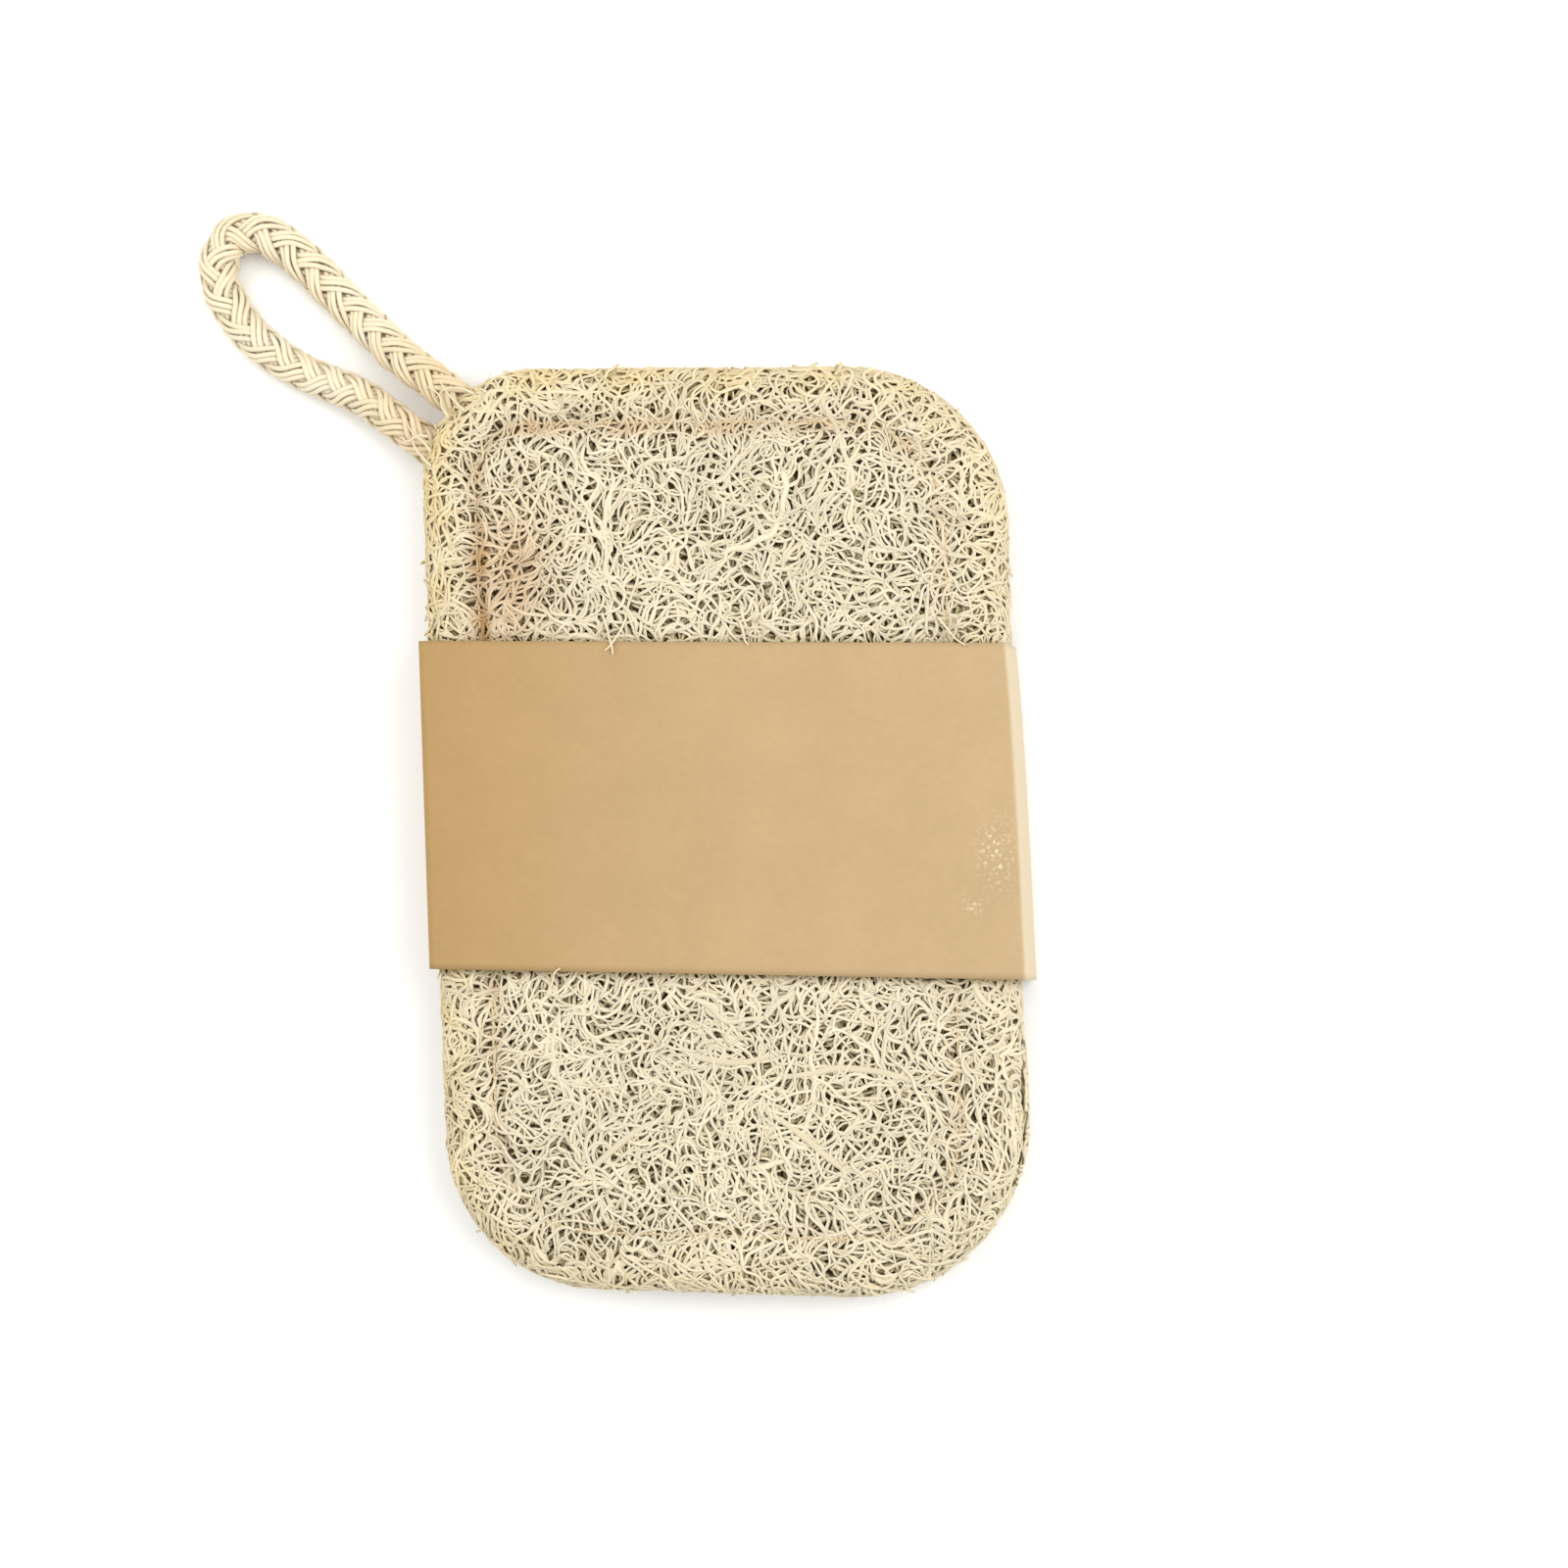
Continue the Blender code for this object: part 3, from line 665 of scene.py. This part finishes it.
def webTones(chance, places, inset, depth, fibreOf):
    # Red: painted shade, deeper in the web and along the band's edges. Green: painted shade along the
    # seam's groove and a brownish patch. Blue: straw yellow edge. Alpha: fibre.
    x, y = places[:, 0], places[:, 1]
    around = np.arctan2(y, x)
    # Painted shade along the seam's groove, strongest at the top left and patchy.
    pull = np.clip(0.42 + 0.58 * np.cos(around - math.radians(webTinting["seamBearing"])), 0, 1)
    patchy = 0.5 + 0.5 * np.sin(x * 0.55 + 2 * np.sin(y * 0.31)) * np.sin(y * 0.43 + 1.0)
    seam = (0.15 + 0.85 * pull ** 2) * (0.3 + 0.7 * patchy ** 2)
    seam = seam * np.exp(-((inset - webTinting["seamInset"]) / webTinting["seamWidth"]) ** 2)
    atX, atY, sizeX, sizeY = webTinting["patch"]
    brownTint = webTinting["patchDepth"] * np.exp(-((x - atX) / sizeX) ** 2 - ((y - atY) / sizeY) ** 2)
    # Straw yellow edge: the rim's own tone, painted stronger at the top left, away from the light.
    edge = np.clip((webTinting["edgeInset"] - inset) / webTinting["edgeWidth"], 0, 1) * (0.45 + 0.55 * patchy)
    edge = edge * (0.55 + 0.45 * np.cos(around - math.radians(webTinting["edgeBearing"])))
    own = chance.uniform(0, 1, fibreOf.max() + 1)[fibreOf]
    bandEdges = (pad["bandTop"], pad["bandBottom"])
    shade = sum(np.exp(-((y - line) / webTinting["bandShadeWidth"]) ** 2) for line in bandEdges)
    # Painted shade by depth in the web and along the band's edges.
    red = np.clip(depth / webTinting["fullShade"] + webTinting["bandShade"] * shade, 0, 1)
    return np.stack([red, np.clip(seam + brownTint, 0, 1), edge, own], axis=1)


def webRoutes(chance, turnAt, spec, face):
    tracks, keep = growKnots(chance, spec) if "stars" in spec else growNet(chance, turnAt, spec)
    count, steps = keep.shape
    index = np.arange(steps)[None]
    first = keep.argmax(axis=1)[:, None]
    last = first + keep.sum(axis=1)[:, None] - 1
    run = index * spec["step"]
    level = chance.uniform(*spec["depth"], count)[:, None]
    swayLength = chance.uniform(4, 10, count)[:, None]
    sway = spec["sway"] * np.sin(2 * math.pi * run / swayLength + chance.uniform(0, 6.3, (count, 1)))
    toEnd = np.minimum(index - first, last - index) * spec["step"]
    thin = np.clip(toEnd / webShape["taper"], 0, 1)
    depth = level + sway + webShape["dip"] * (1 - thin) ** 2
    atEnd, rest = webShape["endWidth"]
    width = chance.uniform(*spec["width"], count)[:, None] * (atEnd + rest * thin ** 0.5)
    waves = np.sin(run / webShape["unevenLength"] + chance.uniform(0, 6.3, (count, 1)))
    width = width * (1 + webShape["unevenWidth"] * waves)
    places = tracks.reshape(-1, 2)
    _, _, inset = borderOf(tracks[:, steps // 2])
    frays = (chance.uniform(0, 1, count) < webShape["fray"]) & (inset < webShape["frayInset"])
    frays &= level[:, 0] < webShape["frayDepth"]
    lift = np.where(frays, chance.uniform(*webShape["frayLift"], count), 0)[:, None]
    depth = np.maximum(depth, 0.02) - lift * (1 - thin) ** 1.5
    points, normals, inset, edgeRun = onPad(places, depth.ravel(), face)
    inside = keep.ravel() & (edgeRun < edgeRuns[-1])
    inside &= pastBand(places[:, 1]) & clearOfCord(points)
    kept = inside.reshape(count, steps)
    return points, normals, inset, np.maximum(depth, 0).ravel(), width.ravel(), kept, places


def clearOfCord(points):
    # Which points lie outside the cord; only those near the top left corner are measured.
    line, _ = evenRoute(cordLine(cordLoop), 1.5)
    near = np.flatnonzero((points[:, 0] < -22) & (points[:, 1] > 33))
    clear = np.ones(len(points), dtype=bool)
    if len(near):
        gap = np.sqrt(((points[near, None] - line[None]) ** 2).sum(axis=2)).min(axis=1)
        clear[near] = gap > cordLoop["diameter"] / 2 - 0.1
    return clear


def loofahPiece(name, node, points, faces, material, tones=None):
    # A piece that stands for one of the pressed layers.
    piece = makeObject(name, points * mm, faces, material, tones)
    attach(piece, "root")
    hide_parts(node)


def webPiece(name, node, face, setName, seed, swirl):
    spec = dict(webSets[setName])
    if face < 0 and "spacing" in spec:
        spec["spacing"] *= webShape["backOpener"]
    chance = np.random.default_rng(seed)
    ruffle = waveField(chance, webShape["ruffle"])

    def turnAt(spots):
        return swirl(spots) + ruffle(spots) * spec.get("calm", 1) + spec["turn"]
    points, normals, inset, depth, width, kept, places = webRoutes(chance, turnAt, spec, face)
    # Splits each fibre where it leaves the bare surface and drops pieces under four points.
    padded = np.pad(kept, ((0, 0), (1, 1)))
    begins = np.argwhere(padded[:, 1:-1] & ~padded[:, :-2])
    finishes = np.argwhere(padded[:, 1:-1] & ~padded[:, 2:])
    long = finishes[:, 1] - begins[:, 1] >= 3
    steps = kept.shape[1]
    spans = []
    for (row, a), (_, b) in zip(begins[long], finishes[long]):
        spans.append(np.arange(row * steps + a, row * steps + b + 1))
    order = np.concatenate(spans)
    lengths = [len(span) for span in spans]
    fibreOf = np.repeat(np.arange(len(spans)), lengths)
    tones = webTones(chance, places[order], inset[order], depth[order], fibreOf)
    verts, faces = tubeMesh(points[order], normals[order], width[order], width[order] * spec["flat"],
                            lengths, spec["sides"])
    loofahPiece(name, node, verts, faces, fibreMaterial, np.repeat(tones, spec["sides"], axis=0))
    print(name, "grown,", len(spans), "fibres")


def loofahFibre():
    # Dried gourd fibre, retted, bleached by sun and pressed: matt cream, with painted shade turning the
    # deeper fibres olive.
    material, shader = startMaterial("pressedLoofahFibre", 0.72, 1.5)
    paintedWebShade, brownTint, rim, own = toneParts(material)
    place = addNode(material, "TexCoord").outputs["Object"]
    grain = addNode(material, "TexNoise", {"Vector": place, "Scale": perMetre(0.8), "Detail": 3.0})
    cloud = addNode(material, "TexNoise", {"Vector": place, "Scale": perMetre(14), "Detail": 2.0})
    # Painted shade: fibres darken from cream to olive the deeper they lie and along the band's edges.
    colour = setStops(addNode(material, "ValToRGB", {"Fac": paintedWebShade}),
                      ((0.0, "#E2D7BC"), (0.25, "#D6C9AA"), (0.55, "#C1B28A"), (1.0, "#A69462")))
    for part, tint in ((brownTint, "#D8B58E"), (rim, "#FFF3CF")):  # painted shade along the seam with a brownish patch, then the straw yellow rim
        tinted = addNode(material, "Mix", {"Factor": part, "A": colour, "B": toLinear(tint)},
                         data_type="RGBA", blend_type="MULTIPLY")
        colour = tinted.outputs["Result"]
    bright = addNode(material, "MapRange", {"Value": own, "To Min": 0.88, "To Max": 1.07})
    clouded = addNode(material, "MapRange",
                      {"Value": cloud.outputs["Fac"], "From Min": 0.3, "From Max": 0.7,
                       "To Min": 0.94, "To Max": 1.02})
    both = addNode(material, "Math",
                   {0: bright.outputs["Result"], 1: clouded.outputs["Result"]}, operation="MULTIPLY")
    final = addNode(material, "HueSaturation", {"Color": colour, "Value": both.outputs["Value"]})
    finishMaterial(material, shader, final.outputs["Color"], grain.outputs["Fac"], 0.35, 0.08)
    return material


# The pad's inside as a dark sheet of painted shade, seen only through the holes of the web.
webCore = {
    "depth": 1.9,  # under the surface
    # Inset and height of the rings before they are sunk.
    "profile": ((0.6, 0.2), (0.2, 1.2), (0.6, 2.6), (2.0, 4.0), (4.8, pad["half"]), (9.0, pad["half"])),
    "lowest": 0.15,  # above the seam level
}


def padCore(name, node, face):
    depth = webCore["depth"]
    rings = []
    for inset, height in webCore["profile"]:
        ring = border[::4] - borderOutward[::4] * (inset + depth)
        rise = max(height - depth * min(height / 4, 1), webCore["lowest"])
        rings.append(np.column_stack([ring, pad["seam"] + face * np.full(len(ring), rise)]))
    count = len(rings[0])
    points = np.vstack(rings)
    bottom, top = range(count), range(len(points) - count, len(points))
    faces = gridFaces(len(rings), count, True) + [tuple(bottom)[::-1], tuple(top)]
    if face < 0:
        faces = [corners[::-1] for corners in faces]
    loofahPiece(name, node, points, faces, insideShadeMaterial)


def shadedInside():
    # Painted shade of the pad's inside: olive brown, rough and uneven.
    material, shader = startMaterial("innerFibreShade", 0.95, 1.45)
    place = addNode(material, "TexCoord").outputs["Object"]
    lumps = addNode(material, "TexNoise", {"Vector": place, "Scale": perMetre(1.6), "Detail": 4.0})
    colour = setStops(addNode(material, "ValToRGB", {"Fac": lumps.outputs["Fac"]}),
                      ((0.35, "#665429"), (0.5, "#897641"), (0.68, "#A8945C")))
    finishMaterial(material, shader, colour, lumps.outputs["Fac"], 0.8, 0.5)
    return material


fibreMaterial = loofahFibre()
insideShadeMaterial = shadedInside()
layers = {"front": ("front_layer", 1, 11), "back": ("back_layer", -1, 47)}
for layerName, (node, face, seed) in layers.items():
    swirl = waveField(np.random.default_rng(seed), webShape["swirl"])
    padCore(layerName + "Core", node, face)
    for number, setName in enumerate(webSets):
        webPiece(f"{layerName}{setName.capitalize()}Fibres", node, face, setName, seed + number + 1, swirl)

# Fibre ends that stick out over the band's edges: x, y, z in mm.
looseEnds = (
    ((-14.6, 25.2, 11.1), (-13.8, 23.2, 11.5), (-13.3, 21.9, 12.3), (-13.0, 21.0, 12.38),
     (-12.9, 20.1, 12.36)),
    ((-11.6, 24.6, 11.1), (-12.2, 23.0, 11.6), (-12.8, 21.8, 12.3), (-13.3, 21.1, 12.38),
     (-13.9, 20.6, 12.36)),
    ((2.0, 24.4, 11.1), (2.6, 22.9, 11.6), (2.9, 21.9, 12.26), (3.4, 21.3, 12.34)),
    ((25.5, 24.8, 11.1), (26.9, 23.2, 11.6), (27.9, 22.1, 12.26), (29.0, 21.4, 12.34)),
    ((-20.4, -20.2, 11.1), (-19.6, -18.6, 11.6), (-19.2, -17.5, 12.26), (-18.5, -16.9, 12.34)),
)
# And those that lie over the cord's ends where it leaves the pad.
cordEnds = (
    ((-31.9, 49.3, 10.7), (-33.3, 50.6, 10.2), (-34.6, 51.9, 9.2), (-35.6, 53.3, 8.9)),
    ((-33.9, 48.6, 10.6), (-34.9, 49.9, 9.9), (-35.6, 51.6, 9.1), (-37.1, 52.6, 8.8)),
    ((-31.0, 51.5, 10.3), (-32.8, 52.3, 9.6), (-34.9, 52.2, 9.1), (-36.0, 51.2, 8.6)),
    ((-36.1, 44.6, 10.3), (-37.3, 45.9, 9.8), (-38.7, 46.9, 9.0), (-39.6, 48.3, 8.7)),
    ((-36.6, 46.4, 10.2), (-38.0, 46.6, 9.4), (-39.4, 46.0, 8.8), (-40.4, 46.6, 8.5)),
    ((-36.0, 42.8, 10.4), (-37.4, 44.1, 9.7), (-38.6, 45.6, 9.0), (-38.9, 47.2, 8.7)),
)
# tone: a little painted shade, some straw yellow, and the fibre's own tone
looseShape = {"width": (0.36, 0.18), "flat": 0.8, "sides": 6, "tone": (0.05, 0.0, 0.2, 0.7)}


def laidFibres(name, lines, points, normals, widths, spec):
    # Fibres laid one by one over the front layer.
    verts, faces = tubeMesh(points, normals, widths, widths * spec["flat"],
                            [len(line) for line in lines], spec["sides"])
    tones = np.tile(spec["tone"], (len(verts), 1))
    loofahPiece(name, "front_layer", verts, faces, fibreMaterial, tones)


def looseFibres(ends, spec):
    lines = [smoothRoute(end, 4) for end in ends]
    points = np.vstack(lines)
    widths = np.concatenate([np.linspace(*spec["width"], len(line)) for line in lines])
    upwards = np.tile((0.0, 0.0, 1.0), (len(points), 1))
    laidFibres("frontLooseFibres", lines, points, upwards, widths, spec)


looseFibres(looseEnds + cordEnds, looseShape)

# The few broad pale strands that cross the lower web: x, y in mm.
broadStrands = (
    ((6.0, -29.6), (11.4, -28.7), (15.3, -28.0), (21.5, -28.7), (26.3, -30.8)),
    ((4.5, -32.2), (7.5, -33.9), (10.6, -36.0), (13.7, -38.5), (16.1, -39.8), (21.5, -40.8)),
    ((-4.6, -25.6), (-1.8, -27.1), (3.2, -27.6), (8.3, -26.1)),
    ((-15.6, -41.8), (-13.4, -39.4), (-8.8, -35.6), (-4.9, -34.2)),
)
broadShape = {
    "depth": (0.13, 0.3),  # at the middle, and how much deeper at the ends
    "width": (0.40, 0.50),  # at the ends, and how much wider at the middle
    "flat": 0.35,
    "sides": 8,
    # red: painted shade, so these flat strands that face the light match the round fibres
    "tone": (0.22, 0.0, 0.0, 0.2),
}


def broadFibres(routes, spec):
    lines = [smoothRoute([(x, y, 0.0) for x, y in route], 8)[:, :2] for route in routes]
    middle = np.sin(math.pi * np.concatenate([np.linspace(0, 1, len(line)) for line in lines]))
    shallow, deeper = spec["depth"]
    narrow, wider = spec["width"]
    points, normals, _, _ = onPad(np.vstack(lines), shallow + deeper * (1 - middle) ** 2, 1)
    laidFibres("frontBroadFibres", lines, points, normals, narrow + wider * middle, spec)


broadFibres(broadStrands, broadShape)
print("loofah web grown")


# Seam thread: a row of stitches in the groove on each face.
seamThread = {
    "stitch": 3.1,
    "space": 0.5,
    "thickness": 0.34,
    "lie": 0.18,  # depth of a stitch in the web
    "under": 0.9,  # and of the thread at a needle hole
    "steepness": 3,
    "step": 0.42,
    "sides": 6,
}


def spunThread():
    # Spun cotton sewing thread, unbleached, pulled tight: matt, hardly told from the fibre.
    material, shader = startMaterial("spunSeamThread", 0.8, 1.5)
    place = addNode(material, "TexCoord").outputs["Object"]
    twist = addNode(material, "TexWave", {"Vector": place, "Scale": perMetre(0.9), "Distortion": 1.5},
                    bands_direction="DIAGONAL")
    colour = setStops(addNode(material, "ValToRGB", {"Fac": twist.outputs["Fac"]}),
                      ((0.2, "#B59F78"), (0.8, "#D1C09B")))
    finishMaterial(material, shader, colour, twist.outputs["Fac"], 0.5, 0.05)
    return material


def stitchRow(name, node, face, spec):
    ring = border - borderOutward * pad["grooveInset"]
    closed = np.column_stack([np.vstack([ring, ring[:1]]), np.zeros(len(ring) + 1)])
    line, run = evenRoute(closed, spec["step"])
    pitch = run[-1] / round(run[-1] / (spec["stitch"] + spec["space"]))
    share = (run % pitch) / pitch
    arch = np.clip(np.sin(math.pi * share) * spec["steepness"], 0, 1)
    depth = spec["lie"] + (spec["under"] - spec["lie"]) * (1 - arch)
    points, normals, _, _ = onPad(line[:, :2], depth, face)
    widths = np.full(len(points), spec["thickness"])
    verts, faces = tubeMesh(points, normals, widths, widths, [len(points)], spec["sides"])
    row = makeObject(name, verts * mm, faces, threadMaterial)
    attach(row, "root")
    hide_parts(node)


threadMaterial = spunThread()
stitchRow("needleStitches", "needle_thread", 1, seamThread)
stitchRow("bobbinStitches", "bobbin_thread", -1, seamThread)
print("seam sewn")


# Kraft paper band: one strip wound round the pad, its ends glued over each other at the back.
paperBand = {
    "top": 21.7, "bottom": -17.3,
    "left": (-35.0, -37.2),  # how far the sides reach at the lower and the upper edge
    "right": (37.0, 34.5),
    "drawnIn": 0.5,  # the right side bends in towards the upper edge
    "bulge": 0.35,  # the sides are this much wider half way down than at the folds
    "frontInner": 11.75,
    "thickness": 0.4,
    "corner": 0.8,
    "flapOuterEnd": 22.0,
    "flapInnerEnd": 6.0,
    "glue": 0.05,
    "ripple": 0.12,  # how far the front sinks between the fibres that carry it
    "scuffs": ((33.0, -2.8, 1.6, 3.2), (30.6, -8.6, 0.7, 0.7)),  # rubbed spots: x, y and their size
    "foldWearAndLight": (0.5, 0.3),  # pale worn paper and painted light on the side facing the lamp: how far in from the right fold it starts, and its width
    "rows": 44,
    "foldPoints": 10,
    "sidePoints": 12,
    "facePoints": (20, 44, 30),  # inner flap, front and outer flap
}


def rightFold(spec, share):
    straight = spec["right"][0] + (spec["right"][1] - spec["right"][0]) * share
    return straight - spec["drawnIn"] * share ** 4 - spec["bulge"]


def bandLine(spec, share):
    half = spec["thickness"] / 2
    bulge = spec["bulge"]
    left = spec["left"][0] + (spec["left"][1] - spec["left"][0]) * share + half + bulge
    right = rightFold(spec, share) - half
    top = spec["frontInner"] + half
    inner = 3 * half + spec["glue"]
    corner = spec["corner"]
    arcs = (
        (right - corner, inner + corner, -90),
        (right - corner, top - corner, 0),
        (left + corner, top - corner, 90),
        (left + corner, half + corner, 180),
    )
    corners = []
    for x, z, first in arcs:
        angles = np.radians(first + np.linspace(0, 90, spec["foldPoints"]))
        corners.append(np.array((x, z)) + corner * heading(angles))
    side = spec["sidePoints"]
    bow = np.column_stack([bulge * np.sin(np.linspace(0, math.pi, side)), np.zeros(side)])
    innerFlap, front, outerFlap = spec["facePoints"]
    runs = [
        np.linspace((spec["flapInnerEnd"], inner), corners[0][0], innerFlap)[:-1], corners[0],
        (np.linspace(corners[0][-1], corners[1][0], side) + bow)[1:-1], corners[1],
        np.linspace(corners[1][-1], corners[2][0], front)[1:-1], corners[2],
        (np.linspace(corners[2][-1], corners[3][0], side) - bow)[1:-1], corners[3],
        np.linspace(corners[3][-1], (spec["flapOuterEnd"], half), outerFlap)[1:],
    ]
    return np.vstack(runs)


def kraftPaper():
    # Unbleached kraft, machine made: warm tan with painted shade deeper at the left, and pale along the
    # right fold from worn paper and painted light.
    material, shader = startMaterial("plainKraftPaper", 0.8, 1.48)
    place = addNode(material, "TexCoord").outputs["Object"]
    axes = addNode(material, "SeparateXYZ", {"Vector": place})
    # Painted shade: the tan deepens towards the left, away from the light.
    across = addNode(material, "MapRange",
                     {"Value": axes.outputs["X"], "From Min": -37 * mm, "From Max": 37 * mm})
    ground = setStops(addNode(material, "ValToRGB", {"Fac": across.outputs["Result"]}),
                      ((0.0, "#A88753"), (0.25, "#AE8F62"), (0.55, "#B4986E"), (1.0, "#B69B74")))
    # Clouds, fibres, dark flecks and the crumbs of the rubbed spots: size in mm and detail.
    noises = []
    for size, detail in ((9, 4.0), (0.9, 5.0), (0.55, 2.0), (0.45, 2.0)):
        noise = addNode(material, "TexNoise", {"Vector": place, "Scale": perMetre(size), "Detail": detail})
        noises.append(noise.outputs["Fac"])
    cloud, fibres, flecks, crumbs = noises
    ranges = []
    for noise, low, high in ((cloud, 0.965, 1.03), (fibres, 0.975, 1.025)):
        fitted = addNode(material, "MapRange", {"Value": noise, "From Min": 0.3, "From Max": 0.7,
                                                "To Min": low, "To Max": high})
        ranges.append(fitted.outputs["Result"])
    both = addNode(material, "Math", {0: ranges[0], 1: ranges[1]}, operation="MULTIPLY")
    toned = addNode(material, "HueSaturation", {"Color": ground, "Value": both.outputs["Value"]})
    mask = setStops(addNode(material, "ValToRGB", {"Fac": flecks}), ((0.69, "#000000"), (0.76, "#6A6A6A")))
    bits = setStops(addNode(material, "ValToRGB", {"Fac": crumbs}), ((0.56, "#000000"), (0.64, "#FFFFFF")))
    fold, rub, _, _ = toneParts(material)
    rubbed = addNode(material, "Math", {0: bits, 1: rub}, operation="MULTIPLY")
    # Flecks, then the pale right fold of worn paper and painted light, then the rubbed spots.
    colour = toned.outputs["Color"]
    for factor, over in ((mask, "#9F7F55"), (fold, "#CFBFA0"), (rubbed.outputs["Value"], "#E1D4B7")):
        mixed = addNode(material, "Mix", {"Factor": factor, "A": colour, "B": toLinear(over)},
                        data_type="RGBA", blend_type="MIX")
        colour = mixed.outputs["Result"]
    finishMaterial(material, shader, colour, fibres, 0.25, 0.05)
    return material


def makeBand(spec):
    rows, tones = [], []
    for share in np.linspace(0, 1, spec["rows"]):
        line = bandLine(spec, share)
        x, z = line[:, 0], line[:, 1]
        y = spec["bottom"] + (spec["top"] - spec["bottom"]) * share
        front = z > spec["frontInner"]
        waves = 0.5 + 0.5 * np.sin(x * 0.33 + 1.5 * np.sin(y * 0.2))
        z = z - np.where(front, spec["ripple"] * waves, 0)
        rows.append(np.column_stack([x, np.full(len(line), y), z]))
        # Pale right fold: worn paper and painted light on the side facing the lamp.
        wall = np.clip((x - rightFold(spec, share) + spec["foldWearAndLight"][0]) / spec["foldWearAndLight"][1], 0, 1)
        scuffs = 0
        for atX, atY, sizeX, sizeY in spec["scuffs"]:
            scuffs = scuffs + np.exp(-((x - atX) / sizeX) ** 2 - ((y - atY) / sizeY) ** 2)
        tones.append(np.column_stack([wall, np.where(front, scuffs, 0), 0 * x, 0 * x + 1]))
    faces = gridFaces(len(rows), len(rows[0]), False)
    band = makeObject("kraftBand", np.vstack(rows) * mm, faces, kraftPaper(), np.vstack(tones))
    sheet = band.modifiers.new("sheetThickness", "SOLIDIFY")
    sheet.thickness = spec["thickness"] * mm
    sheet.offset = 0.0
    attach(band, "root")
    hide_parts("paper_band")


makeBand(paperBand)
print("paper band folded")


# Studio: a plain white table, one large soft light from the right, weaker ones and an even sky.
studioTable = {"half": 1.5, "level": -0.02 * mm, "colour": "#FBFBFA"}
studioLights = {
    "keyLight": {"at": (0.50, 0.06, 0.58), "size": 0.6, "power": 4.0},
    "fillLight": {"at": (-0.50, 0.10, 0.40), "size": 0.6, "power": 1.4},
    "topLight": {"at": (0.0, 0.1, 0.9), "size": 0.7, "power": 1.3},
    "loopLight": {"at": (-0.14, 0.17, 0.20), "size": 0.12, "power": 0.10},
}
studioSky = {"colour": "#FFFFFF", "strength": 0.6}


def studio():
    material, shader = startMaterial("whiteTable", 0.9, 1.45)
    shader.inputs["Base Color"].default_value = toLinear(studioTable["colour"])
    half, level = studioTable["half"], studioTable["level"]
    corners = [(-half, -half, level), (half, -half, level), (half, half, level), (-half, half, level)]
    table = makeObject("whiteTable", corners, [(0, 1, 2, 3)], material)
    for name, spec in studioLights.items():
        lamp = bpy.data.lights.new(name, "AREA")
        lamp.shape = "DISK"
        lamp.size = spec["size"]
        lamp.energy = spec["power"]
        item = bpy.data.objects.new(name, lamp)
        item.location = spec["at"]
        item.rotation_euler = Vector(spec["at"]).to_track_quat("Z", "Y").to_euler()
        bpy.context.scene.collection.objects.link(item)
    world = bpy.data.worlds.new("softSky")
    bpy.context.scene.world = world
    world.use_nodes = True
    background = world.node_tree.nodes["Background"]
    background.inputs["Color"].default_value = toLinear(studioSky["colour"])
    background.inputs["Strength"].default_value = studioSky["strength"]
    bpy.context.scene.view_settings.view_transform = "Standard"


studio()
print("studio lit")
